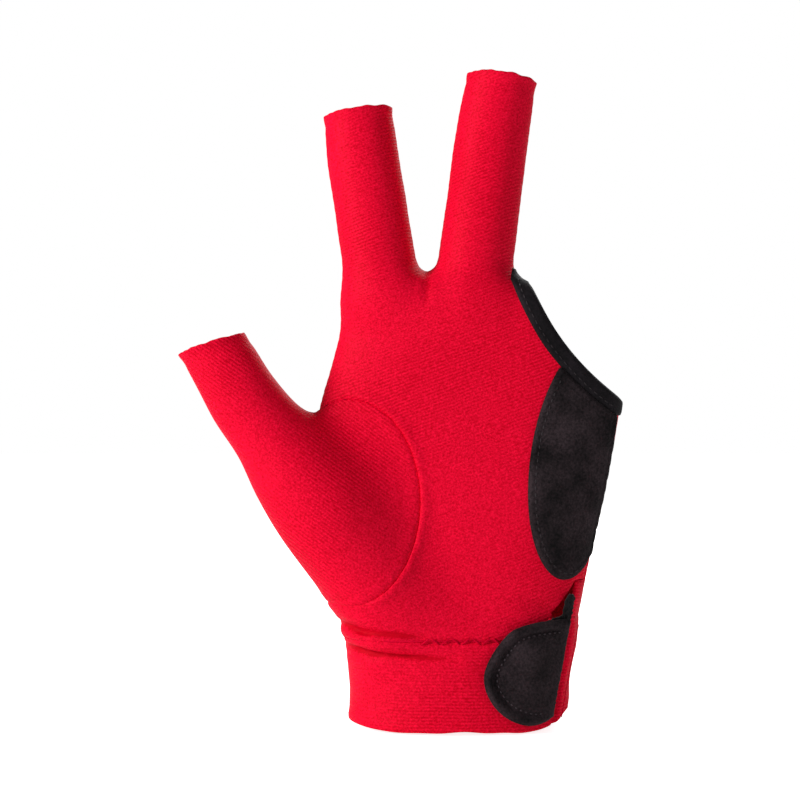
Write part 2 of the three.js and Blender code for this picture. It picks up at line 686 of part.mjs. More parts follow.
const wristClosure = new THREE.Group();
wristClosure.add(
  makePiece('wrist_band', redCloth),
  makePiece('loop_patch', blackLoop),
  makePiece('closure_tab', blackSuede),
);

const glove = new THREE.Group();
glove.add(handCover, wristClosure);

export default glove;
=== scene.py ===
import bpy
import math
import numpy as np
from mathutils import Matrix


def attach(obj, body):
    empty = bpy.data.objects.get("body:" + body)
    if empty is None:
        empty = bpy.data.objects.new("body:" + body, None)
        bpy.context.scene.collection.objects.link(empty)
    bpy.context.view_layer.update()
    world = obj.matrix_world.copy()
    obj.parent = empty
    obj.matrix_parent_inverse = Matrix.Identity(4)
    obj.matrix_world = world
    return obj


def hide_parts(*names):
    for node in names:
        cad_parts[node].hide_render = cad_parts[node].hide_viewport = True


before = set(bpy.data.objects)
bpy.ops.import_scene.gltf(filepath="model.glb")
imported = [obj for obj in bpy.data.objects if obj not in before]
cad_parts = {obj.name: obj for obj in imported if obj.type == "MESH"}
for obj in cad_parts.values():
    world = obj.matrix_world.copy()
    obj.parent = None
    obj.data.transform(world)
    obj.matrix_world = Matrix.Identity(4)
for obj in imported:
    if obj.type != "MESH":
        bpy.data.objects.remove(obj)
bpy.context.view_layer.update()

mm = 0.001    # the sewing pattern is in millimetres, and meshes are scaled once when they are made

# The skin that the cloth lies on: a smooth union of the hand's trunk, two fingers and the thumb.
gloveForm = {
    "cell": 0.8,    # size of a facet of the visible cloth
    "bandHeight": 26, "bandArch": 6, "wristWidth": 65, "wristDepth": 40,
    "palmLength": 108, "palmWidth": 89, "palmDepth": 28,
    "crotchOffset": -7.8, "fingerSpacing": 27.8, "webRadius": 8, "thumbBlend": 16.5, "footDrop": 12,
}
indexForm = {
    "length": 48.1, "width": 21.2, "depth": 19, "lean": 8.8, "tilt": 0, "rimSlant": 0,
    "rimArch": 0.5, "rimWave": 0.12,
}
middleForm = {
    "length": 58.2, "width": 21.6, "depth": 19.6, "lean": -7.6, "tilt": 0, "rimSlant": 0,
    "rimArch": 0.9, "rimWave": 0.14,
}
thumbForm = {
    "length": 90, "width": 20.6, "depth": 19, "lean": 33.6, "tilt": 3,
    "ballWidth": 27.5, "ballDepth": 27, "ballForward": 9,
    "rimSlant": 15, "rimArch": 0.9, "rimWave": 0.14,
}
bandTop, palmLength = gloveForm["bandHeight"], gloveForm["palmLength"]
palmTop = bandTop + palmLength
halfPalm = gloveForm["palmWidth"] / 2
halfWrist = gloveForm["wristWidth"] / 2

# at, thumb side, outer side, depth: shares of the band's height and of half the wrist
wristSections = [
    (-0.5, 0.94, 1.0, 1.0), (0.0, 0.935, 1.01, 1.0), (0.5, 0.93, 1.02, 0.97), (1.0, 0.94, 1.1, 0.93),
]
palmSections = [
    (0.13, 0.745, 0.865, 1.22), (0.27, 0.82, 0.935, 1.12), (0.42, 0.87, 1.02, 1.05), (0.56, 0.87, 1.085, 1.0),
    (0.66, 0.86, 1.115, 0.96), (0.77, 0.795, 1.1, 0.92), (0.88, 0.725, 1.06, 0.86), (1.0, 0.68, 1.0, 0.78),
]
# at, width, depth, sway: shares of the finger's own sizes
fingerSections = [
    (-0.3, 1.02, 1.05, 0), (0.0, 1.02, 1.03, 0), (0.35, 1.0, 1.0, 0), (0.75, 0.985, 0.97, 0),
    (1.0, 0.94, 0.94, 0.01), (1.2, 0.92, 0.92, 0.02),
]
# at, share of the tube, share of the ball, depth, sway
thumbSections = [
    (-0.1, 0, 0.66, 0.9, 0), (0.1, 0, 0.86, 1.0, 0), (0.32, 0, 1.05, 1.0, 0), (0.5, 0.34, 0.7, 0.98, -0.008),
    (0.64, 0.75, 0.24, 0.97, -0.01), (0.8, 1.03, 0, 0.98, -0.012), (0.92, 0.98, 0, 0.96, -0.004),
    (1.0, 0.93, 0, 0.92, -0.002), (1.2, 0.9, 0, 0.9, 0),
]
# side, from x, from z, to x, to z, spread, rise: shares of half the palm and of the height, then millimetres
bigFolds = [
    (-1, -0.8, 0.235, -0.45, 0.215, 2.6, -0.9), (-1, -0.78, 0.205, -0.3, 0.19, 2.4, 0.9),
    (-1, -0.75, 0.17, -0.2, 0.165, 2.4, -0.8), (1, -0.8, 0.25, -0.5, 0.34, 3, 0.9),
    (1, -0.92, 0.69, -1.15, 0.36, 3.4, -1.1), (1, -0.95, 0.69, -1.4, 0.52, 3, -0.9),
]
fineFolds = [
    (-1, -0.76, 0.229, -0.56, 0.209, 0.9, -1.2), (-1, -0.64, 0.216, -0.2, 0.205, 0.9, -1.1),
    (-1, -0.74, 0.25, -0.44, 0.226, 1.4, 0.7), (-1, -0.72, 0.182, -0.5, 0.166, 0.9, -1.1),
    (-1, -0.62, 0.171, 0.02, 0.154, 0.9, -1.0), (-1, -0.68, 0.193, -0.16, 0.176, 1.4, 0.5),
    (-1, -0.78, 0.272, -0.6, 0.277, 1.2, 0.4), (-1, -0.8, 0.284, -0.66, 0.289, 1.0, -0.4),
    (-1, -0.76, 0.15, -0.4, 0.143, 1.3, 0.3), (-1, -0.7, 0.05, -0.5, 0.07, 2.4, -0.4),
    (-1, 0.42, 0.285, 0.7, 0.25, 1.6, -0.4), (-1, 0.34, 0.262, 0.62, 0.222, 1.5, 0.35),
    (-1, -0.17, 1.0, -0.19, 0.93, 1.3, -0.6), (1, -0.17, 1.0, -0.18, 0.92, 1.3, -0.6),
    (1, -0.87, 0.7, -1.12, 0.47, 0.9, -1.2), (1, -0.94, 0.7, -1.22, 0.5, 1.4, 0.8),
    (1, -1.0, 0.68, -1.5, 0.56, 1.4, 0.5), (1, -0.5, 0.318, -0.76, 0.244, 1.0, -1.0),
    (1, -0.42, 0.3, -0.74, 0.226, 1.4, 0.6), (1, -0.46, 0.35, -0.74, 0.29, 1.3, 0.5),
]


def sectionCurve(rows):
    t = np.array([row[0] for row in rows], float)
    v = np.array([row[1:] for row in rows], float)
    last = len(t) - 1

    def at(z):
        z = np.clip(z, t[0], t[-1])
        i = np.clip(np.searchsorted(t, z, side="right"), 1, last)
        t0, t1 = t[i - 1], t[i]
        first, final = i < 2, i + 1 > last
        tPrev = np.where(first, t1, t[np.maximum(i - 2, 0)])
        tNext = np.where(final, t0, t[np.minimum(i + 1, last)])
        vPrev = np.where(first[:, None], v[i], v[np.maximum(i - 2, 0)])
        vNext = np.where(final[:, None], v[i - 1], v[np.minimum(i + 1, last)])
        half = (t1 - t0) * 0.5
        a, b = (half / (t0 - tPrev))[:, None], (half / (tNext - t1))[:, None]
        p = ((z - t0) / (t1 - t0))[:, None]
        return (a * (-p**3 + 2 * p**2 - p) * vPrev
                + ((1 + a) * p**3 - (1.5 + 2 * a) * p**2 + (a - 0.5) * p + 1) * v[i - 1]
                + ((-1 - b) * p**3 + (1.5 + b) * p**2 + 0.5 * p) * v[i]
                + b * (p**3 - p**2) * vNext).T
    return at


def ovalDistance(across, deep, halfWidth, halfDepth, corner):
    u = np.abs(across) / halfWidth + 1e-6
    v = np.abs(deep) / halfDepth + 1e-6
    level = (u**corner + v**corner) ** (1 / corner)
    slope = np.hypot(u ** (corner - 1) / halfWidth, v ** (corner - 1) / halfDepth)
    return (level - 1) / (slope * level ** (1 - corner))


def smoothMin(a, b, radius):
    near = np.maximum(radius - np.abs(a - b), 0) / radius
    return np.minimum(a, b) - near * near * radius / 4


def smoothMax(a, b, radius):
    return -smoothMin(-a, -b, radius)


def makeTrunk():
    halfDepth = gloveForm["wristDepth"] / 2
    rows = [(at * bandTop, thumbSide * halfWrist, outer * halfWrist, depth * halfDepth, 2.2)
            for at, thumbSide, outer, depth in wristSections]
    rows += [(bandTop + at * palmLength, thumbSide * halfPalm, outer * halfPalm,
              depth * gloveForm["palmDepth"] / 2, 2.5) for at, thumbSide, outer, depth in palmSections]
    sectionAt = sectionCurve(rows)

    def distance(p):
        thumbSide, outer, depth, corner = sectionAt(p[:, 2])
        across = p[:, 0] - (outer - thumbSide) / 2
        side = ovalDistance(across, p[:, 1], (outer + thumbSide) / 2, depth, corner)
        capped = smoothMax(side, p[:, 2] - palmTop + 4, 8)
        return smoothMax(capped, -gloveForm["footDrop"] - p[:, 2], 8)
    return distance


def makeFinger(form, root, rows):
    lean, tilt = math.radians(-form["lean"]), math.radians(form["tilt"])
    cosine, sine = math.cos(lean), math.sin(lean)
    turnLean = np.array([[cosine, 0, sine], [0, 1, 0], [-sine, 0, cosine]])
    cosine, sine = math.cos(tilt), math.sin(tilt)
    turnTilt = np.array([[1, 0, 0], [0, cosine, -sine], [0, sine, cosine]])
    turn, root = turnLean @ turnTilt, np.array(root, float)
    sectionAt = sectionCurve(rows)

    def place(p):
        return (p - root) @ turn

    def distance(p):
        q = place(p)
        halfWidth, halfDepth, sway = sectionAt(q[:, 2])
        side = ovalDistance(q[:, 0] - sway, q[:, 1], halfWidth, halfDepth, 2.1)
        capped = smoothMax(side, q[:, 2] - form["length"] - 9, 6)
        return smoothMax(capped, rows[0][0] * 0.8 - q[:, 2], 8)
    slant = math.tan(math.radians(form["rimSlant"]))
    wave = form["rimWave"]

    def pastRim(p):    # how far past the raw edge, and how far aside of the finger's middle line
        q = place(p)
        x, y, z = q.T
        uneven = wave * (np.sin(x * 0.9 + y * 0.5) + 0.6 * np.sin(x * 1.9 - y * 1.1 + 1))
        arch = form["rimArch"] * (1 - (x / (form["width"] / 2)) ** 2)
        return z + slant * x - form["length"] - arch + uneven, x
    return {"distance": distance, "pastRim": pastRim}


def tubeRows(form):
    return [(at * form["length"], width * form["width"] / 2, depth * form["depth"] / 2, sway * form["length"])
            for at, width, depth, sway in fingerSections]


def thumbRows(form):
    return [(at * form["length"], (tube * form["width"] + ball * form["ballWidth"]) / 2,
             depth * (tube * form["depth"] + ball * form["ballDepth"]) / 2, sway * form["length"])
            for at, tube, ball, depth, sway in thumbSections]


halfSpacing = gloveForm["fingerSpacing"] / 2
trunk = makeTrunk()
crotchX = gloveForm["crotchOffset"]
index = makeFinger(indexForm, (crotchX - halfSpacing, 0, palmTop), tubeRows(indexForm))
middle = makeFinger(middleForm, (crotchX + halfSpacing, 0, palmTop), tubeRows(middleForm))
thumbRoot = (-0.65 * halfWrist, -thumbForm["ballForward"], bandTop + 0.105 * palmLength)
thumb = makeFinger(thumbForm, thumbRoot, thumbRows(thumbForm))


def foldLift(p, folds):
    lift = np.zeros(len(p))
    for side, fromX, fromZ, toX, toZ, spread, rise in folds:
        ax, az = fromX * halfPalm, fromZ * palmTop
        bx, bz = toX * halfPalm - ax, toZ * palmTop - az
        along = np.clip(((p[:, 0] - ax) * bx + (p[:, 2] - az) * bz) / (bx * bx + bz * bz), 0, 1)
        away = np.hypot(p[:, 0] - ax - along * bx, p[:, 2] - az - along * bz)
        fade = np.minimum(1, np.maximum(side * p[:, 1], 0) / 4) * np.sin(np.pi * (0.12 + 0.76 * along))
        lift += rise * fade * np.exp(-((away / spread) ** 2))
    return lift


def skinDistance(p):
    fingers = smoothMin(index["distance"](p), middle["distance"](p), gloveForm["webRadius"])
    hand = smoothMin(trunk(p), fingers, 9)
    return smoothMin(hand, thumb["distance"](p), gloveForm["thumbBlend"]) - foldLift(p, bigFolds)


def skinSlope(p, step):
    slope = np.empty_like(p)
    for axis in range(3):
        shift = np.zeros(3)
        shift[axis] = step
        slope[:, axis] = (skinDistance(p + shift) - skinDistance(p - shift)) / (2 * step)
    return slope


def meshSkin(cell):
    low, high = np.array([-90.0, -31.0, -16.0]), np.array([60.0, 27.0, 210.0])
    size = np.ceil((high - low) / cell).astype(int) + 1
    low[0] = crotchX - (math.ceil((crotchX - low[0]) / cell) + 0.5) * cell
    axes = [low[n] + cell * np.arange(size[n]) for n in range(3)]
    grid = np.stack(np.meshgrid(*axes, indexing="ij"), axis=-1).reshape(-1, 3)
    field = np.concatenate([skinDistance(part) for part in np.array_split(grid, 12)]).reshape(size)
    corners = [(n & 1, n >> 1 & 1, n >> 2) for n in range(8)]

    def atCorner(c):
        return field[c[0]:size[0] - 1 + c[0], c[1]:size[1] - 1 + c[1], c[2]:size[2] - 1 + c[2]]

    total, count = np.zeros((*(size - 1), 3)), np.zeros(size - 1)
    for bit in (1, 2, 4):
        for n in range(8):
            if n & bit:
                continue
            a, b = atCorner(corners[n]), atCorner(corners[n | bit])
            hit = (a < 0) != (b < 0)
            share = np.where(hit, a / np.where(hit, a - b, 1), 0)
            step = np.array(corners[n | bit], float) - np.array(corners[n], float)
            spot = np.array(corners[n], float) + share[..., None] * step
            total += spot * hit[..., None]
            count += hit
    cells = np.argwhere(count > 0)
    number = np.full(size - 1, -1)
    number[tuple(cells.T)] = np.arange(len(cells))
    points = low + cell * (cells + total[tuple(cells.T)] / count[tuple(cells.T)][:, None])
    for _ in range(3):
        slope = skinSlope(points, 0.2)
        points -= slope * (skinDistance(points) / np.maximum((slope**2).sum(1), 0.1))[:, None]
    normals = skinSlope(points, 0.5)
    normals /= np.linalg.norm(normals, axis=1)[:, None]

    faces = []
    inside = field < 0
    for axis in range(3):
        second, third = (axis + 1) % 3, (axis + 2) % 3
        here = inside[1:-1, 1:-1, 1:-1]
        ahead = np.roll(inside, -1, axis)[1:-1, 1:-1, 1:-1]
        spots = np.argwhere(here != ahead) + 1
        out = here[tuple((spots - 1).T)]
        ring = []
        for a, b in ((1, 1), (0, 1), (0, 0), (1, 0)):
            back = np.zeros(3, int)
            back[second], back[third] = a, b
            ring.append(number[tuple((spots - back).T)])
        quads = np.stack(ring, 1)
        quads[~out] = quads[~out][:, ::-1]
        faces += quads.tolist()
    return {"co": points, "no": normals, "faces": faces}


# Cutting: a piece of cloth is the skin where a few measures are negative.
def clipped(piece, measure):
    value = measure(piece["co"]) if callable(measure) else measure
    keep = (value <= 0).tolist()
    co, no, cuts, extraCo, extraNo = piece["co"], piece["no"], {}, [], []

    def cutPoint(i, j):
        key = (i, j) if i < j else (j, i)
        if key not in cuts:
            share = value[i] / (value[i] - value[j])
            cuts[key] = len(co) + len(extraCo)
            extraCo.append(co[i] + share * (co[j] - co[i]))
            extraNo.append(no[i] + share * (no[j] - no[i]))
        return cuts[key]

    faces = []
    for face in piece["faces"]:
        flags = [keep[i] for i in face]
        if all(flags):
            faces.append(face)
        elif any(flags):
            cut = []
            for n, i in enumerate(face):
                j = face[n - len(face) + 1]
                if keep[i]:
                    cut.append(i)
                if keep[i] != keep[j]:
                    cut.append(cutPoint(i, j))
            faces.append(cut)
    if extraCo:
        co, no = np.vstack([co, extraCo]), np.vstack([no, extraNo])
    used = np.unique(np.concatenate([np.array(face) for face in faces]))
    renumber = np.full(len(co), -1)
    renumber[used] = np.arange(len(used))
    renumbered = renumber.tolist()
    no = no[used] / np.linalg.norm(no[used], axis=1)[:, None]
    return {"co": co[used], "no": no, "faces": [[renumbered[i] for i in face] for face in faces]}


def outlineDistance(x, z, outline):
    outline = np.array(outline, float)
    best, inside = np.full(len(x), 1e9), np.zeros(len(x), bool)
    for (ax, az), (bx, bz) in zip(outline, np.roll(outline, -1, 0)):
        dx, dz = bx - ax, bz - az
        along = np.clip(((x - ax) * dx + (z - az) * dz) / max(dx * dx + dz * dz, 1e-9), 0, 1)
        best = np.minimum(best, np.hypot(x - ax - along * dx, z - az - along * dz))
        if az != bz:
            crosses = ((az > z) != (bz > z)) & (x < (bx - ax) * (z - az) / (bz - az) + ax)
            inside ^= crosses
    return np.where(inside, -best, best)


def bezier(p0, p1, p2, p3, count):
    t = np.linspace(0, 1, count)[:, None]
    p0, p1, p2, p3 = (np.array(p, float) for p in (p0, p1, p2, p3))
    return (1 - t) ** 3 * p0 + 3 * (1 - t) ** 2 * t * p1 + 3 * (1 - t) * t * t * p2 + t**3 * p3


seamForm = {
    "fingerBack": 1.5, "sideFront": 5, "groove": 0.5, "grooveWidth": 0.7, "pucker": 0.1, "puckerPitch": 3.4,
    "ridge": 0.22, "ridgeWidth": 1.9,
}


def backSeam(p):    # how far a point is in front of the seam between the palm cloth and the back cloth
    bend = halfPalm * 0.42
    t = np.clip((p[:, 0] - bend) / bend, 0, 1)
    ease = t * t * (3 - 2 * t)
    return seamForm["fingerBack"] - (seamForm["fingerBack"] + seamForm["sideFront"]) * ease - p[:, 1]


bandForm = {
    "lift": 0.8, "cornerRise": 5.5, "cornerFrom": 23, "cornerWidth": 10.2,
    "thumbSideRise": 1.2, "thumbSideFrom": 22, "thumbSideWidth": 9,
}


def aboveBand(p):
    share = np.clip(p[:, 0] / halfWrist, -1, 1)
    arch = np.where(p[:, 1] > 0, gloveForm["bandArch"] * (1 - share**2), 0)
    return p[:, 2] - bandTop - arch


ballForm = {"seamWidth": 42, "seamHeight": 60, "shift": 0.443}
crotchOfThumb = (-0.9 * halfPalm, bandTop + 0.625 * palmLength)
footOfThumb = (-1.07 * halfWrist, bandTop + 0.096 * palmLength)


def thumbOutlines():
    halfW, halfH = ballForm["seamWidth"] / 2, ballForm["seamHeight"] / 2
    cx, cz = crotchOfThumb[0] + ballForm["shift"] * halfW, footOfThumb[1] + halfH
    start = math.pi - math.acos(ballForm["shift"])
    turns = np.linspace(start, -0.55 * math.pi, 50)
    oval = [(cx + halfW * math.cos(a), cz + halfH * math.sin(a)) for a in turns]
    left = min(oval[0][0], crotchOfThumb[0]) - 0.5
    front = oval + [(-400, oval[-1][1]), (-400, 400), (left - 40, 400), (left, oval[0][1])]
    (topX, topZ), (lowX, lowZ) = crotchOfThumb, footOfThumb
    tall = topZ - lowZ
    back = [(-400, 400), (topX - 40, 400), (topX, topZ), (topX + 0.5, lowZ + 0.6 * tall),
            (topX - 1.5, lowZ + 0.25 * tall), (lowX, lowZ), (-400, lowZ)]
    return front, back


thumbFront, thumbBack = thumbOutlines()


def thumbRegion(p):    # negative on the thumb's own cloth
    front = np.maximum(outlineDistance(p[:, 0], p[:, 2], thumbFront), -backSeam(p))
    back = np.maximum(outlineDistance(p[:, 0], p[:, 2], thumbBack), backSeam(p))
    return np.minimum(front, back)


bindingForm = {"width": 4.8, "drop": 37, "reach": 28.4, "hollow": 4}
rimTop = np.array([crotchX + halfSpacing + middleForm["width"] / 2 + 4.4, palmTop - 1])
rimEnd = rimTop + np.array([bindingForm["reach"], -bindingForm["drop"]])


def rimCurve(count, inset=0):
    way = rimEnd - rimTop
    bow = np.array([way[1], -way[0]]) / np.hypot(*way) * 2 * bindingForm["hollow"]
    control = (rimTop + rimEnd) / 2 + bow
    t = np.linspace(0, 1, count)[:, None]
    points = (1 - t) ** 2 * rimTop + 2 * (1 - t) * t * control + t * t * rimEnd
    tangent = 2 * (1 - t) * (control - rimTop) + 2 * t * (rimEnd - control)
    tangent /= np.linalg.norm(tangent, axis=1)[:, None]
    return points + inset * np.stack([tangent[:, 1], -tangent[:, 0]], 1)


def openingOutline(inset):
    edge = rimCurve(40, inset)
    wallX = rimTop[0] - 3.4 - inset * 0.1
    endX, endZ = edge[-1]
    startZ = edge[0, 1] + inset * 0.4
    return [*edge.tolist(), (endX + 60, endZ - 20), (endX + 60, palmTop + 40), (wallX + 12, palmTop + 40),
            (wallX + 10, startZ + 8), (wallX, startZ + 1.5)]


def inOpening(inset):
    outline = openingOutline(inset)
    return lambda p: outlineDistance(p[:, 0], p[:, 2], outline)


closureForm = {
    "slitHeight": 43, "slitWidth": 6, "slitFoot": 0.4, "slitLean": 0.193, "underlap": 5, "stripWidth": 3.2,
    "tabWidth": 25.5, "tabHeight": 29.6, "tabHem": 2.2, "tabLift": 3.1, "loopHeight": 34.5, "loopLift": 1.5,
}
slitTop = (gloveForm["wristWidth"] * 0.555, closureForm["slitHeight"])
stripTop = (slitTop[0] - 1.8, bandTop + 6)
stripFoot = (stripTop[0] - closureForm["slitLean"] * (stripTop[1] + 2), -2)
slitOutline = [slitTop, (slitTop[0] - 0.6, slitTop[1]), (stripTop[0] - 4.2, stripTop[1] + 4),
               (stripTop[0] - closureForm["slitWidth"], stripTop[1] + 2),
               (stripFoot[0] - closureForm["slitFoot"], -3), (stripFoot[0], -3), stripTop]
besideSlit = [(stripFoot[0] - 2, -3), (stripTop[0] - 2, stripTop[1]), (slitTop[0] - 0.4, slitTop[1]),
              (400, slitTop[1]), (400, -3)]


def frontOnly(outline):
    return lambda p: np.maximum(outlineDistance(p[:, 0], p[:, 2], outline), p[:, 1])


def notBack(p):    # negative on the palm's side of the seam
    return np.maximum(-backSeam(p), -frontOnly(besideSlit)(p))


rimReach = 17    # a finger's rim plane cuts no further aside than this


def nearFinger(finger):
    def measure(p):
        past, aside = finger["pastRim"](p)
        return np.where(np.abs(aside) < rimReach, past, -50)
    return measure


skin = meshSkin(gloveForm["cell"])
print("skin meshed:", len(skin["co"]), "points")


def hemRise(p):    # the hem climbs in a round corner at the band's free end, and a little on the thumb side
    form = bandForm
    x, y = p[:, 0], p[:, 1]
    corner = form["cornerRise"] * np.clip((x - form["cornerFrom"]) / form["cornerWidth"], 0, 1.1) ** 2
    thumbSide = np.clip((-x - form["thumbSideFrom"]) / form["thumbSideWidth"], 0, 1.1) ** 2
    wave = 0.25 * np.sin(x * 0.21 + 1) + 0.12 * np.sin(x * 0.5 + y * 0.3)
    return 0.3 + wave + (corner + form["thumbSideRise"] * thumbSide) * np.clip((11 - y) / 9, 0, 1)


cloth = clipped(skin, lambda p: hemRise(p) - p[:, 2])
for finger in (index, middle, thumb):
    cloth = clipped(cloth, nearFinger(finger))
slit = frontOnly(slitOutline)
upper = clipped(clipped(cloth, lambda p: -aboveBand(p)), lambda p: -slit(p))
upperOpen = clipped(upper, lambda p: -inOpening(bindingForm["width"] - 0.6)(p))
thumbCloth = clipped(upperOpen, thumbRegion)
handCloth = clipped(upperOpen, lambda p: -thumbRegion(p))
palmCloth = clipped(handCloth, notBack)
backCloth = clipped(handCloth, lambda p: -notBack(p))
bandCloth = clipped(clipped(cloth, aboveBand), lambda p: -slit(p))
print("cloth cut out")


def ripple(p, pitch, seed=0.0):
    a = p[:, 0] * 0.83 + p[:, 2] * 0.55 + p[:, 1] * 0.4 + seed
    b = p[:, 2] * 0.77 - p[:, 0] * 0.52 + p[:, 1] * 0.3 - seed
    return np.sin(2 * np.pi * a / pitch) * np.sin(2 * np.pi * b / (pitch * 1.37) + 1.3)


def seamDip(away, p):
    groove = -seamForm["groove"] * np.exp(-away / seamForm["grooveWidth"])
    pucker = seamForm["pucker"] * np.exp(-((away / 2.6) ** 2)) * ripple(p, seamForm["puckerPitch"])
    return groove + pucker + seamForm["ridge"] * np.exp(-(((away - 1.3) / seamForm["ridgeWidth"]) ** 2))


def creaseShade(p):    # painted shade: how deep a point lies in a sharp crease, from 0 to 1, which darkens the red cloth's colour there
    creases = [fold for fold in fineFolds if fold[6] < 0]
    return np.clip(-foldLift(p, creases) / 1.05, 0, 1) ** 3


def clothOuter(p, seams):
    lift = foldLift(p, fineFolds) + 0.05 * ripple(p, 23, 4.0) + 0.03 * ripple(p, 11, 1.0)
    for seam in seams:
        lift += seamDip(np.abs(seam(p)), p)
    return lift


def fingertipFlare(p):    # the raw edge at each tube's rim curls out a little, and isn't quite even
    lift = np.zeros(len(p))
    for finger in (index, middle, thumb):
        past, aside = finger["pastRim"](p)
        near = np.where(np.abs(aside) < rimReach, -past, 50)
        lift += 0.28 * np.exp(-((near / 1.6) ** 2)) - 0.1 * np.exp(-(((near - 3.2) / 1.2) ** 2))
    return lift


def borderOf(faces):
    seen = {}
    for face in faces:
        for n, i in enumerate(face):
            seen[(i, face[n - len(face) + 1])] = True
    return [(i, j) for i, j in seen if (j, i) not in seen]


def makeObject(name, co, faces, materials=()):
    mesh = bpy.data.meshes.new(name)
    mesh.from_pydata((np.asarray(co) * mm).tolist(), [], faces)
    mesh.validate()
    mesh.polygons.foreach_set("use_smooth", [True] * len(mesh.polygons))
    for material in materials:
        mesh.materials.append(material)
    obj = bpy.data.objects.new(name, mesh)
    bpy.context.scene.collection.objects.link(obj)
    return obj


# A wall of cloth: the piece at its outer lift, its inner drop, and a rounded edge between the two.
def makeWall(name, piece, outer, inner, bulge, material, rimSteps=3):
    co, no, count = piece["co"], piece["no"], len(piece["co"])
    outer = np.broadcast_to(outer, count).astype(float)
    inner = np.broadcast_to(inner, count).astype(float)
    border = borderOf(piece["faces"])
    push = np.zeros((count, 3))
    for i, j in border:
        edge = co[j] - co[i]
        side = np.cross(edge, no[i])
        push[i] += side
        push[j] += side
    size = np.linalg.norm(push, axis=1)
    push[size > 1e-6] /= size[size > 1e-6][:, None]
    points = [co + no * outer[:, None], co + no * inner[:, None]]
    faces = [list(face) for face in piece["faces"]]
    faces += [[i + count for i in reversed(face)] for face in piece["faces"]]
    rim = sorted({i for edge in border for i in edge})
    slot = {i: n for n, i in enumerate(rim)}
    rim = np.array(rim)
    base = 2 * count
    for step in range(1, rimSteps + 1):
        share = step / (rimSteps + 1)
        reach = bulge * math.sin(math.pi * share)
        drop = outer[rim] + (inner[rim] - outer[rim]) * (0.5 - 0.5 * math.cos(math.pi * share))
        points.append(co[rim] + no[rim] * drop[:, None] + push[rim] * reach)

    def level(i, step):
        if step == 0:
            return i
        if step == rimSteps + 1:
            return i + count
        return base + (step - 1) * len(rim) + slot[i]

    for i, j in border:
        for step in range(rimSteps + 1):
            faces.append([level(j, step), level(i, step), level(i, step + 1), level(j, step + 1)])
    obj = makeObject(name, np.vstack(points), faces, [material])
    # painted shade: each outer point keeps its crease depth in the hollow attribute, which darkens the red
    # cloth's colour in sharp creases
    hollow = np.zeros(len(obj.data.vertices))
    hollow[:count] = creaseShade(co)
    obj.data.attributes.new("hollow", "FLOAT", "POINT").data.foreach_set("value", hollow)
    return obj


# Materials
def nodeTools(tree):    # add makes a node with its values set, join links two by socket name or number
    def add(kind, **values):
        node = tree.nodes.new(kind)
        for key, value in values.items():
            if key in node.inputs:
                node.inputs[key].default_value = value
            else:
                setattr(node, key, value)
        return node

    def join(a, out, b, into):
        tree.links.new(a.outputs[out], b.inputs[into])
    return add, join


class ClothNodes:
    def __init__(self, name):
        self.material = bpy.data.materials.new(name)
        self.material.use_nodes = True
        self.shader = self.material.node_tree.nodes["Principled BSDF"]
        self.add, self.join = nodeTools(self.material.node_tree)
        self.place = self.add("ShaderNodeTexCoord")

    def noise(self, scale, detail, roughness=0.5):
        node = self.add("ShaderNodeTexNoise", Scale=scale, Detail=detail, Roughness=roughness)
        self.join(self.place, "Object", node, "Vector")
        return node

    def ranged(self, source, socket, low, high, least=0.0):
        node = self.add("ShaderNodeMapRange")
        for key, value in (("From Min", low), ("From Max", high), ("To Min", least)):
            node.inputs[key].default_value = value
        self.join(source, socket, node, "Value")
        return node

    def maths(self, operation, a, aSocket, b, bSocket=None):    # b is a node, or a number if it has no socket
        node = self.add("ShaderNodeMath", operation=operation)
        self.join(a, aSocket, node, 0)
        if bSocket is None:
            node.inputs[1].default_value = b
        else:
            self.join(b, bSocket, node, 1)
        return node

    def coloured(self, tone, socket, dark, light):
        mix = self.add("ShaderNodeMix", data_type="RGBA")
        mix.inputs["A"].default_value = dark
        mix.inputs["B"].default_value = light
        self.join(tone, socket, mix, 0)
        self.join(mix, 2, self.shader, "Base Color")

    def finished(self, height, socket, bump, depth, roughness, specular, sheen, sheenRoughness):
        relief = self.add("ShaderNodeBump", Strength=bump, Distance=depth)
        self.join(height, socket, relief, "Height")
        self.join(relief, "Normal", self.shader, "Normal")
        self.shader.inputs["Roughness"].default_value = roughness
        self.shader.inputs["Specular IOR Level"].default_value = specular
        self.shader.inputs["Sheen Weight"].default_value = sheen
        self.shader.inputs["Sheen Roughness"].default_value = sheenRoughness
        return self.material


# The red cloth's look; its crease value sets how far painted shade darkens the colour in sharp creases
redClothLook = {
    "light": (0.97, 0.005, 0.045, 1), "dark": (0.5, 0.0, 0.01, 1), "grain": 1700, "ribPitch": 0.00095,
    "ribWander": 1.6, "ribTone": 0.3, "patches": 22, "paintedCreaseShade": -1.5, "bump": 0.4, "bumpDepth": 0.00025,
    "roughness": 0.55, "specular": 0.03, "sheen": 0.0, "sheenRoughness": 0.4,
}


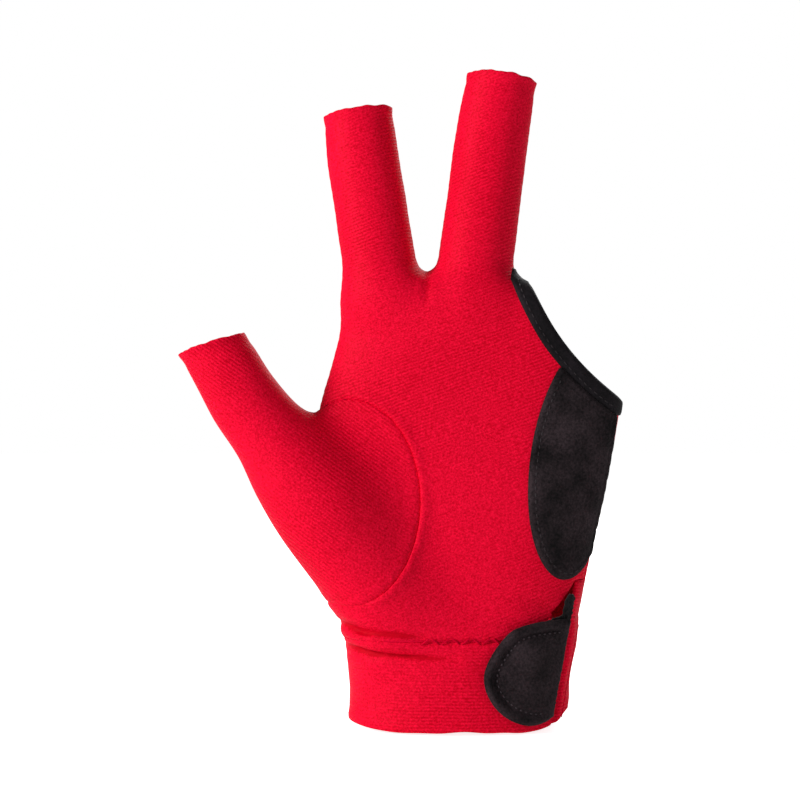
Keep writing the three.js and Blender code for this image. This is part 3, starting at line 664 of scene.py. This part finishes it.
def makeRedCloth(name, ribAngle):
    look = redClothLook
    nodes = ClothNodes(name)
    grain = nodes.noise(look["grain"], 3.0, 0.7)
    turned = nodes.add("ShaderNodeMapping")
    turned.inputs["Rotation"].default_value = (0, math.radians(ribAngle), 0)
    nodes.join(nodes.place, "Object", turned, "Vector")
    ribs = nodes.add("ShaderNodeTexWave", Scale=math.pi / 10 / look["ribPitch"], Detail=1.0)
    ribs.inputs["Distortion"].default_value = look["ribWander"]
    ribs.inputs["Detail Scale"].default_value = 0.25
    ribs.bands_direction = "Z"
    nodes.join(turned, "Vector", ribs, "Vector")
    patches = nodes.ranged(nodes.noise(look["patches"], 1.0), "Fac", 0.42, 0.62, 0.25)
    ribAmount = nodes.maths("MULTIPLY", ribs, "Fac", patches, "Result")
    ribShare = nodes.maths("MULTIPLY", ribAmount, "Value", look["ribTone"])
    tone = nodes.ranged(grain, "Fac", 0.3, 0.72)
    ribbed = nodes.maths("SUBTRACT", tone, "Result", ribShare, "Value")
    # painted shade: the hollow attribute darkens the colour in sharp creases
    hollow = nodes.add("ShaderNodeAttribute", attribute_name="hollow")
    shadeInCreases = nodes.maths("MULTIPLY_ADD", hollow, "Fac", look["paintedCreaseShade"])
    nodes.join(ribbed, "Value", shadeInCreases, 2)
    nodes.coloured(shadeInCreases, "Value", look["dark"], look["light"])
    height = nodes.maths("ADD", grain, "Fac", ribAmount, "Value")
    return nodes.finished(height, "Value", look["bump"], look["bumpDepth"], look["roughness"],
                          look["specular"], look["sheen"], look["sheenRoughness"])


def makeTrim(name, light, dark, grain, roughness, bump, sheen, specular=0.12):    # black cloths and all threads
    nodes = ClothNodes(name)
    fine = nodes.noise(grain, 4.0, 0.65)
    both = nodes.maths("MULTIPLY", fine, "Fac", nodes.noise(90.0, 2.0), "Fac")
    nodes.coloured(nodes.ranged(both, "Value", 0.14, 0.4), "Result", (*dark, 1), (*light, 1))
    return nodes.finished(fine, "Fac", bump, 0.0003, roughness, specular, sheen, 0.5)


redPalm = makeRedCloth("redClothPalm", 20)
redBack = makeRedCloth("redClothBack", -8)
redThumb = makeRedCloth("redClothThumb", -35)
redBand = makeRedCloth("redClothBand", 0)
blackTape = makeTrim("blackTape", (0.014, 0.01, 0.013), (0.002, 0.0015, 0.002), 900, 0.75, 0.3, 0.03)
blackSuede = makeTrim("blackSuede", (0.036, 0.024, 0.028), (0.002, 0.0015, 0.0018), 1400, 0.9, 0.5, 0.03)
blackLoop = makeTrim("blackLoop", (0.012, 0.011, 0.012), (0.002, 0.002, 0.002), 1100, 1.0, 1.0, 0.1)
redThread = makeTrim("redThread", (0.75, 0.004, 0.035), (0.5, 0.001, 0.02), 2500, 0.7, 0.2, 0.0, 0.0)
# painted shade: a red thread made darker than the cloth, so that the seams where it lies show the shade of their
# grooves
seamShadeRedThread = makeTrim("seamShadeRedThread", (0.3, 0.002, 0.014), (0.12, 0.001, 0.006), 2500, 0.7, 0.2, 0.0,
                         0.0)
greyThread = makeTrim("greyThread", (0.07, 0.055, 0.062), (0.03, 0.022, 0.026), 2500, 0.6, 0.2, 0.0)
coalThread = makeTrim("coalThread", (0.045, 0.036, 0.04), (0.015, 0.012, 0.013), 2500, 0.55, 0.2, 0.0)

# The cloth panels
def sideSeam(p):
    return np.where(np.abs(notBack(p)) < 6, notBack(p), 50)


def seamShown(p):    # the ball seam's step shows on the front only and fades at the cuff
    x, y, z = p.T
    return np.clip(-y / 3, 0, 1) * np.clip((x + 27) / 6 + np.clip((z - 50) / 10, 0, 1), 0, 1)


def palmEdge(p):
    away = np.abs(thumbRegion(p))
    return 0.62 * np.exp(-((away / 1.5) ** 2)) * seamShown(p)


def thumbEdge(p):
    away = np.abs(thumbRegion(p))
    return -0.25 * np.exp(-away / 1.1) * seamShown(p)


def clothPiece(name, piece, material, extra=0.0):
    p = piece["co"]
    outer = clothOuter(p, [thumbRegion, aboveBand, sideSeam]) + fingertipFlare(p) + extra
    return makeWall(name, piece, outer, np.minimum(outer - 0.6, -1.1 + 0 * outer), 0.25, material)


palm = clothPiece("palmPanel", palmCloth, redPalm, palmEdge(palmCloth["co"]))
back = clothPiece("backPanel", backCloth, redBack)
thumbPiece = clothPiece("thumbPanel", thumbCloth, redThumb, thumbEdge(thumbCloth["co"]))
print("panels made")


def bandOuter(p):
    seam = seamDip(np.abs(aboveBand(p)), p)
    below = np.clip(-aboveBand(p) / 3.0, 0, 1)
    hemEdge = 0.25 * np.exp(-(((p[:, 2] - hemRise(p) - 1.2) / 1.3) ** 2))
    uneven = 0.1 * ripple(p, 17, 2.0) + 0.05 * ripple(p, 8, 1.0)
    return bandForm["lift"] * below + uneven + seam + hemEdge + foldLift(p, fineFolds)


band = makeWall("wristBand", bandCloth, bandOuter(bandCloth["co"]), -1.1, 0.5, redBand)

inRim, inBinding = inOpening(0.0), inOpening(bindingForm["width"])
bindingCloth = clipped(clipped(clipped(cloth, inBinding), lambda p: -inRim(p)), lambda p: -aboveBand(p))


def bindingOuter(p):
    fromCloth, fromRim = -inBinding(p), inRim(p)
    soft = np.clip(np.minimum(fromCloth, fromRim) / 1.1, 0, 1)
    groove = 0.12 * np.exp(-(((fromCloth - 1.3) / 0.35) ** 2))
    return 0.15 + 0.75 * np.sqrt(1 - (1 - soft) ** 2) - groove


binding = makeWall("edgeBinding", bindingCloth, bindingOuter(bindingCloth["co"]), -1.8, 0.55, blackTape)
print("band and binding made")


# The pad, the loop patch and the tab, on top of the cloth
padForm = {"width": 20, "drop": 62, "lift": 0.85}


def padOutline():
    outer = halfPalm * 1.3
    top = (halfPalm * 0.7, palmTop - 0.262 * palmLength)
    left, low = halfPalm * 1.07 - padForm["width"] - 6, top[1] - padForm["drop"]
    side = (left, top[1] - padForm["drop"] * 0.6)
    foot, end = (halfPalm * 0.73, low), (halfPalm * 0.9, low + 6)
    return [*bezier(top, (top[0] - 5.5, top[1] - 9), (left, top[1] - 22), side, 24).tolist(),
            *bezier(side, (left, low + 10), (left + 5, low), foot, 24)[1:].tolist(),
            *bezier(foot, (halfPalm * 0.8, low), (halfPalm * 0.86, low + 2), end, 10)[1:].tolist(),
            (outer, low + 16), (outer, top[1])]


padShape = padOutline()


def padRegion(p):
    inside = np.maximum(outlineDistance(p[:, 0], p[:, 2], padShape), p[:, 1])
    inside = np.maximum(inside, -(backSeam(p) - 0.3))
    return np.maximum(inside, -inOpening(bindingForm["width"] + 0.1)(p))


def lifted(piece, lift):
    return piece["co"] + piece["no"] * lift


padCloth = clipped(skin, lambda p: p[:, 1])
padCloth = clipped(padCloth, padRegion(lifted(padCloth, padForm["lift"])))


def padOuter(p):
    away = -padRegion(lifted(padCloth, padForm["lift"]))
    soft = np.clip(away / 0.9, 0, 1)
    channel = -0.32 * np.exp(-(((away - 1.7) / 0.4) ** 2))
    return 0.45 + 0.95 * np.sqrt(1 - (1 - soft) ** 2) + channel + 0.06 * ripple(p, 9, 3.0)


pad = makeWall("heelPad", padCloth, padOuter(padCloth["co"]), 0.15, 0.3, blackSuede)


def tabShape():
    f = closureForm
    top, hem = f["tabHem"] + f["tabHeight"], f["tabHem"]
    rightTop = (stripTop[0] - 0.3, top)
    rightFoot = (stripFoot[0] + f["slitLean"] * (hem + 4) - 0.3, hem + 2)
    left, width = rightTop[0] - f["tabWidth"], f["tabWidth"]

    def quad(a, b, c, count):
        a, b, c = (np.array(q, float) for q in (a, b, c))
        t = np.linspace(0, 1, count)[:, None]
        return ((1 - t) ** 2 * a + 2 * (1 - t) * t * b + t * t * c)[1:].tolist()
    upperEnd = (left + width * 0.32, top - 2.6)
    sideEnd = (left, hem + f["tabHeight"] * 0.46)
    lowEnd = (left + width * 0.5, hem)
    return [rightFoot, rightTop, *quad(rightTop, (left + width * 0.55, top + 0.2), upperEnd, 16),
            *bezier(upperEnd, (left + 5.2, top - 4.8), (left, top - 11.5), sideEnd, 20)[1:].tolist(),
            *bezier(sideEnd, (left, hem + 8.5), (left + 4.4, hem + 1.4), lowEnd, 20)[1:].tolist(),
            *quad(lowEnd, (rightFoot[0] - 3, hem - 0.3), rightFoot, 12)[:-1]]


tabEdge = tabShape()


def tabRegion(p):
    return np.maximum(outlineDistance(p[:, 0], p[:, 2], tabEdge), p[:, 1] + 3)


frontSkin = clipped(skin, lambda p: p[:, 1] + 3)
tabCloth = clipped(frontSkin, tabRegion(lifted(frontSkin, closureForm["tabLift"])))


def tabOuter(p):
    away = -tabRegion(lifted(tabCloth, closureForm["tabLift"]))
    soft = np.clip(away / 0.8, 0, 1)
    fromRight = stripFoot[0] + closureForm["slitLean"] * (p[:, 2] + 2) - p[:, 0]
    turned = np.clip((fromRight - 4.6) / 2, 0, 1)
    roll = 0.75 * np.exp(-(((away - 1.1) / 0.9) ** 2)) - 0.8 * np.exp(-(((away - 2.7) / 0.8) ** 2))
    return 2.9 + 0.9 * np.sqrt(1 - (1 - soft) ** 2) + turned * roll + 0.16 * ripple(p, 21, 1.0)


tab = makeWall("closureTab", tabCloth, tabOuter(tabCloth["co"]), 2.3, 0.35, blackSuede)

loopRight, loopLeft = stripTop[0] - 0.3, stripTop[0] - 0.3 - closureForm["tabWidth"] * 0.74
loopTop = closureForm["loopHeight"]
loopEdge = [(loopLeft, closureForm["tabHem"] + 6), (stripFoot[0] + 1.2, closureForm["tabHem"] + 4.5),
            (loopRight, loopTop - 1.5), (loopRight + 1.1, loopTop + 4.3), (loopRight - 0.9, loopTop + 4.7),
            (loopRight - 2.6, loopTop - 1.5), (loopLeft + 5, loopTop - 5), (loopLeft, loopTop - 11)]
loopSpot = lifted(frontSkin, closureForm["loopLift"])
loopRegion = outlineDistance(loopSpot[:, 0], loopSpot[:, 2], loopEdge) + 0.35 * ripple(loopSpot, 1.6)
loopCloth = clipped(frontSkin, loopRegion)
loopPatch = makeWall("loopPatch", loopCloth, 1.9 + 0.35 * ripple(loopCloth["co"], 1.7), 1.1, 0.25, blackLoop)

stripEdge = [(stripFoot[0] - closureForm["underlap"], -1), (stripFoot[0] + closureForm["stripWidth"], -1),
             (stripTop[0] + closureForm["stripWidth"], stripTop[1]), stripTop,
             (stripTop[0] - closureForm["underlap"] - 2, stripTop[1])]
frontCloth = clipped(cloth, lambda p: p[:, 1])
stripCloth = clipped(frontCloth, lambda p: outlineDistance(p[:, 0], p[:, 2], stripEdge))


def stripOuter(p):
    across = p[:, 0] - stripFoot[0] - closureForm["slitLean"] * (p[:, 2] + 2)
    low = np.clip((stripTop[1] - p[:, 2]) / 9, 0, 1)
    shown = np.clip(across / 0.6 + 1, 0, 1)    # the part under the tab and the patch stays low
    ridges = 0.16 * np.cos(2 * np.pi * across / closureForm["stripWidth"] - 1)
    return 0.25 + shown * (0.1 + 1.15 * low**0.7 + ridges)


strip = makeWall("bandEnd", stripCloth, stripOuter(stripCloth["co"]), -0.3, 0.3, redBand)
print("pad, tab, patch and band end made")


# Stitches and seam lines, each laid along a line by a Geometry Nodes tree
class ThreadNodes:
    def __init__(self, name, sizes):
        self.tree = bpy.data.node_groups.new(name, "GeometryNodeTree")
        sockets = self.tree.interface
        sockets.new_socket("Geometry", in_out="INPUT", socket_type="NodeSocketGeometry")
        for key, value in sizes.items():
            sockets.new_socket(key, in_out="INPUT", socket_type="NodeSocketFloat").default_value = value
        sockets.new_socket("Thread", in_out="INPUT", socket_type="NodeSocketMaterial")
        sockets.new_socket("Geometry", in_out="OUTPUT", socket_type="NodeSocketGeometry")
        self.add, self.join = nodeTools(self.tree)
        self.given = self.add("NodeGroupInput")
        toCurve = self.add("GeometryNodeMeshToCurve")
        self.join(self.given, "Geometry", toCurve, "Mesh")
        self.spaced = self.add("GeometryNodeResampleCurve", mode="LENGTH")
        self.join(toCurve, "Curve", self.spaced, "Curve")
        self.join(self.given, "Pitch", self.spaced, "Length")

    def maths(self, operation, source, socket, *numbers):
        node = self.add("ShaderNodeMath", operation=operation)
        self.join(source, socket, node, 0)
        for n, number in enumerate(numbers):
            node.inputs[n + 1].default_value = number
        return node

    def finished(self, thread):
        painted = self.add("GeometryNodeSetMaterial")
        self.join(thread, 0, painted, "Geometry")
        self.join(self.given, "Thread", painted, "Material")
        self.join(painted, 0, self.add("NodeGroupOutput"), 0)
        return self.tree


def stitchTree():    # one bead a stitch, its width across the line and its height off the cloth
    nodes = ThreadNodes("stitchRow", {"Pitch": 0.003, "Length": 0.002, "Radius": 0.0003, "Zigzag": 0.0})
    add, join, given = nodes.add, nodes.join, nodes.given
    bead = add("GeometryNodeMeshUVSphere", Segments=8, Rings=5, Radius=1.0)
    size = add("ShaderNodeCombineXYZ")
    join(nodes.maths("MULTIPLY", given, "Length", 0.5), 0, size, "X")
    join(given, "Radius", size, "Y")
    join(given, "Radius", size, "Z")
    alongX = add("FunctionNodeAlignRotationToVector", axis="X")
    join(add("GeometryNodeInputTangent"), 0, alongX, "Vector")
    outward = add("GeometryNodeInputNamedAttribute", data_type="FLOAT_VECTOR", Name="outward")
    upZ = add("FunctionNodeAlignRotationToVector", axis="Z", pivot_axis="X")
    join(alongX, 0, upZ, "Rotation")
    join(outward, "Attribute", upZ, "Vector")
    parity = nodes.maths("MODULO", add("GeometryNodeInputIndex"), 0, 2.0)
    angle = nodes.maths("MULTIPLY", nodes.maths("MULTIPLY_ADD", parity, 0, 2.0, -1.0), 0)
    join(given, "Zigzag", angle, 1)
    turn = add("FunctionNodeAxisAngleToRotation", Axis=(0, 0, 1))
    join(angle, 0, turn, "Angle")
    local = add("FunctionNodeRotateRotation", rotation_space="LOCAL")
    join(upZ, 0, local, "Rotation")
    join(turn, 0, local, "Rotate By")
    lay = add("GeometryNodeInstanceOnPoints")
    join(nodes.spaced, "Curve", lay, "Points")
    join(bead, "Mesh", lay, "Instance")
    join(local, 0, lay, "Rotation")
    join(size, 0, lay, "Scale")
    real = add("GeometryNodeRealizeInstances")
    join(lay, 0, real, 0)
    smooth = add("GeometryNodeSetShadeSmooth")
    join(real, 0, smooth, "Geometry")
    return nodes.finished(smooth)


def seamTree():    # one thin cord along the line
    nodes = ThreadNodes("seamLine", {"Pitch": 0.001, "Radius": 0.0002})
    ring = nodes.add("GeometryNodeCurvePrimitiveCircle", Resolution=6)
    nodes.join(nodes.given, "Radius", ring, "Radius")
    tube = nodes.add("GeometryNodeCurveToMesh")
    tube.inputs["Fill Caps"].default_value = True
    nodes.join(nodes.spaced, "Curve", tube, "Curve")
    nodes.join(ring, "Curve", tube, "Profile Curve")
    real = nodes.add("GeometryNodeRealizeInstances")
    nodes.join(tube, 0, real, 0)
    return nodes.finished(real)


stitchNodes, seamNodes = stitchTree(), seamTree()
allStitches = []


def layAlong(name, nodes, lines, **inputs):
    verts, normals, edges = [], [], []
    for points, outward, *joined in lines:
        start = len(verts)
        verts += (np.asarray(points) * mm).tolist()
        normals += np.asarray(outward).tolist()
        pairs = joined[0] if joined else [(n, n + 1) for n in range(len(points) - 1)]
        edges += [(start + a, start + b) for a, b in pairs]
    mesh = bpy.data.meshes.new(name + "Line")
    mesh.from_pydata(verts, edges, [])
    attribute = mesh.attributes.new("outward", "FLOAT_VECTOR", "POINT")
    attribute.data.foreach_set("vector", np.array(normals).ravel())
    guide = bpy.data.objects.new(name + "Line", mesh)
    bpy.context.scene.collection.objects.link(guide)
    modifier = guide.modifiers.new("stitches", "NODES")
    modifier.node_group = nodes
    sockets = {item.name: item.identifier for item in nodes.interface.items_tree if item.in_out == "INPUT"}
    for key, value in inputs.items():
        modifier[sockets[key]] = value
    bpy.context.view_layer.update()
    graph = bpy.context.evaluated_depsgraph_get()
    done = bpy.data.meshes.new_from_object(guide.evaluated_get(graph))
    bpy.data.objects.remove(guide)
    done.name = name
    obj = bpy.data.objects.new(name, done)
    bpy.context.scene.collection.objects.link(obj)
    allStitches.append(obj)
    return obj


def layStitches(name, lines, thread, pitch, length, radius, zigzag=0.0):
    return layAlong(name, stitchNodes, lines, Pitch=pitch * mm, Length=length * mm, Radius=radius * mm,
                    Zigzag=zigzag, Thread=thread)


def laySeam(name, lines, thread, radius):
    return layAlong(name, seamNodes, lines, Pitch=0.9 * mm, Radius=radius * mm, Thread=thread)


def borderLine(piece, measure, lift):    # the part of a piece's border where a measure is zero
    co, no = piece["co"], piece["no"]
    onLine = np.abs(measure(co)) < 0.04
    pairs = [(i, j) for i, j in borderOf(piece["faces"]) if onLine[i] and onLine[j]]
    used = sorted({i for pair in pairs for i in pair})
    number = {i: n for n, i in enumerate(used)}
    return co[used] + no[used] * lift, no[used], [(number[i], number[j]) for i, j in pairs]


def whereSkinIs(spot, low, high):    # spot(low) lies inside the skin and spot(high) outside it
    for _ in range(30):
        half = (low + high) / 2
        inside = skinDistance(spot(half)) < 0
        low, high = np.where(inside, half, low), np.where(inside, high, half)
    points = spot(low)
    normals = skinSlope(points, 0.4)
    return points, normals / np.linalg.norm(normals, axis=1)[:, None]


def onSkin(xz, side):
    x, z = np.array(xz, float).T
    return whereSkinIs(lambda y: np.stack([x, side * y, z], 1), np.full(len(x), 0.0), np.full(len(x), 45.0))


def seamHeight(xy):
    share = np.clip(xy[:, 0] / halfWrist, -1, 1)
    return bandTop + np.where(xy[:, 1] > 0, gloveForm["bandArch"] * (1 - share**2), 0) + 0.2


def aroundWrist(fromTurn, toTurn, count):    # the band's seam between two turns, in degrees from the +x side
    turns = np.radians(np.linspace(fromTurn, toTurn, count))
    centre, way = np.array([0.5, 0.0]), np.stack([np.cos(turns), np.sin(turns)], 1)

    def spot(reach):
        xy = centre + way * reach[:, None]
        return np.stack([xy[:, 0], xy[:, 1], seamHeight(xy)], 1)
    return whereSkinIs(spot, np.full(count, 5.0), np.full(count, 60.0))


def raised(line, lift):
    points, normals = line
    return points + normals * lift, normals


bandLine = raised(aroundWrist(-58, -400, 260), -0.3)
zigzagLines = [raised(aroundWrist(*turns), 0.38) for turns in ((-58, -116, 60), (-186, -400, 220))]
layStitches("bandStitches", zigzagLines, redThread, pitch=2.65, length=3.2, radius=0.27, zigzag=0.66)
laySeam("bandSeamLine", [bandLine], redThread, 0.3)
seamLines = {"ballFrom": 37.6, "sideFrom": 40, "off": 9}    # heights where two seam lines start, whose dark thread is painted seam shade, and a miss


def ballSeam(p):
    return np.where((p[:, 2] > seamLines["ballFrom"]) | (p[:, 1] > 0), thumbRegion(p), seamLines["off"])


def backSide(p):
    return np.where(p[:, 2] > seamLines["sideFrom"], notBack(p), seamLines["off"])


# painted shade: dark cords sunk into the thumb seam and the side seam stand for the shade in their grooves
laySeam("thumbSeamLine", [borderLine(thumbCloth, ballSeam, -0.5)], seamShadeRedThread, 0.16)
laySeam("sideSeamLine", [borderLine(backCloth, backSide, -0.28)], seamShadeRedThread, 0.16)


def insetLine(outline, inset, keep):
    outline = np.array(outline, float)
    step = np.roll(outline, -1, 0) - np.roll(outline, 1, 0)
    step /= np.maximum(np.linalg.norm(step, axis=1), 1e-6)[:, None]
    area = np.sum(outline[:, 0] * np.roll(outline[:, 1], -1) - np.roll(outline[:, 0], -1) * outline[:, 1])
    inward = np.stack([-step[:, 1], step[:, 0]], 1) * (1 if area > 0 else -1)
    line = (outline + inward * inset)[keep]
    return onSkin(line, -1)


padLine = raised(insetLine(padShape, 1.7, slice(3, 54)), 1.2)
layStitches("padStitches", [padLine], coalThread, pitch=2.0, length=1.3, radius=0.24)
tabLine = raised(insetLine(tabEdge, 2.9, slice(5, 60)), 3.62)
layStitches("tabStitches", [tabLine], greyThread, pitch=1.6, length=0.8, radius=0.24)
bindingSpots = rimCurve(40, bindingForm["width"] - 1.3)[1:-2]
bindingLines = [raised(onSkin(bindingSpots, side), 0.86) for side in (-1, 1)]
layStitches("bindingStitches", bindingLines, coalThread, pitch=2.1, length=1.4, radius=0.2)
stripSpots = [(stripFoot[0] + 1.5 + closureForm["slitLean"] * (z + 2), z) for z in np.linspace(3, 30, 24)]
laySeam("bandEndSeam", [raised(onSkin(stripSpots, -1), 1.5)], redThread, 0.14)
# the stitches on the back of the thumb seam are of the same thread, its dark colour painted seam shade
thumbSpots = [(crotchOfThumb[0] + 0.3, z) for z in np.linspace(90, 60, 20)]
thumbLine = raised(onSkin(thumbSpots, 1), -0.1)
layStitches("thumbStitches", [thumbLine], seamShadeRedThread, pitch=2.6, length=1.0, radius=0.26)
print("stitches laid:", len(allStitches), "rows")

# Each piece hangs on the root body, and the CAD part that it stands for is hidden
for piece, node, slot in ((palm, "palm_panel", "red_cloth"), (back, "back_panel", "red_cloth"),
                          (thumbPiece, "thumb_panel", "red_cloth"), (band, "wrist_band", "red_cloth"),
                          (strip, "wrist_band", "red_cloth"), (binding, "edge_binding", "black_binding"),
                          (pad, "heel_pad", "black_suede"), (tab, "closure_tab", "black_suede"),
                          (loopPatch, "loop_patch", "black_loop")):
    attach(piece, "root")
    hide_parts(node)
for piece in allStitches:
    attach(piece, "root")

rows = {piece.name: piece for piece in [*allStitches, strip, binding]}
# Each piece laid flat: its width and length in metres, judged by its extent, and the share of that rectangle
# that its finished area comes to
clothCuts = (
    (palm, (0.095, 0.168), 0.69, "stretched", [back, thumbPiece], ["sideSeamLine"]),
    (back, (0.095, 0.168), 0.775, "stretched", [palm], ["edgeBinding", "bindingStitches"]),
    (thumbPiece, (0.085, 0.105), 0.672, "stretched", [palm, back], ["thumbSeamLine", "thumbStitches"]),
    (band, (0.18, 0.0275), 0.968, "stretched", [palm, back],
     ["bandStitches", "bandSeamLine", "bandEnd", "bandEndSeam"]),
    (pad, (0.03, 0.062), 0.728, "laid", [palm], ["padStitches"]),
    (loopPatch, (0.0235, 0.0335), 0.643, "laid", [band], []),
    (tab, (0.0255, 0.0296), 0.923, "laid", [loopPatch], ["tabStitches"]),
)
for piece, flat, share, held, under, sewn in clothCuts:
    [other.name for other in under]
    [rows[name] for name in sewn]

# Floor, light and camera
stageForm = {
    "floorDrop": 1.0, "floorReach": 3000, "floorGlow": 0.3, "floorSeen": 0.55, "seen": 1.0, "shed": 0.2,
    "distance": 600, "height": 96, "aside": -16, "lens": 90.5, "sensor": 36,
}
corners = np.array([(-1, -1, 0), (1, -1, 0), (1, 1, 0), (-1, 1, 0)]) * stageForm["floorReach"]
floor = makeObject("floor", corners - (0, 0, stageForm["floorDrop"]), [(0, 1, 2, 3)])
paleFloor = bpy.data.materials.new("paleFloor")
paleFloor.use_nodes = True
shader = paleFloor.node_tree.nodes["Principled BSDF"]
add, join = nodeTools(paleFloor.node_tree)
shader.inputs["Base Color"].default_value = (0.92, 0.92, 0.92, 1)
shader.inputs["Roughness"].default_value = 0.9
shader.inputs["Emission Color"].default_value = (1, 1, 1, 1)
whiter = add("ShaderNodeMath", operation="MULTIPLY_ADD")    # the floor glows more for the camera
whiter.inputs[1].default_value = stageForm["floorSeen"]
whiter.inputs[2].default_value = stageForm["floorGlow"]
join(add("ShaderNodeLightPath"), "Is Camera Ray", whiter, 0)
join(whiter, "Value", shader, "Emission Strength")
floor.data.materials.append(paleFloor)

world = bpy.data.worlds.new("studio")
bpy.context.scene.world = world
world.use_nodes = True
bpy.context.scene.view_settings.view_transform = "Standard"
add, join = nodeTools(world.node_tree)
seen, shed = world.node_tree.nodes["Background"], add("ShaderNodeBackground")
for sky, strength in ((seen, stageForm["seen"]), (shed, stageForm["shed"])):
    sky.inputs["Color"].default_value = (1, 1, 1, 1)
    sky.inputs["Strength"].default_value = strength
either = add("ShaderNodeMixShader")
join(add("ShaderNodeLightPath"), "Is Camera Ray", either, "Fac")
join(shed, "Background", either, 1)
join(seen, "Background", either, 2)
join(either, "Shader", world.node_tree.nodes["World Output"], "Surface")


def areaLight(name, size, power, place):
    data = bpy.data.lights.new(name, "AREA")
    data.shape = "DISK"
    data.size = size
    data.energy = power
    lamp = bpy.data.objects.new(name, data)
    bpy.context.scene.collection.objects.link(lamp)
    lamp.location = place
    way = np.array((0, 0, 0.1)) - np.array(place)    # towards the middle of the glove
    lamp.rotation_euler = (math.acos(-way[2] / np.linalg.norm(way)), 0, math.atan2(-way[0], way[1]))


areaLight("keyLight", 0.4, 12.8, (-0.93, -0.52, 0.5))
areaLight("fillLight", 0.8, 0.5, (0.8, -0.6, 0.35))
areaLight("backLight", 0.6, 5.5, (0.35, 0.85, 0.6))

cameraData = bpy.data.cameras.new("camera")
cameraData.lens = stageForm["lens"]
cameraData.sensor_width = stageForm["sensor"]
camera = bpy.data.objects.new("camera", cameraData)
bpy.context.scene.collection.objects.link(camera)
camera.location = (stageForm["aside"] * mm, -stageForm["distance"] * mm, stageForm["height"] * mm)
camera.rotation_euler = (math.pi / 2, 0, 0)
bpy.context.scene.camera = camera

print("scene ready")
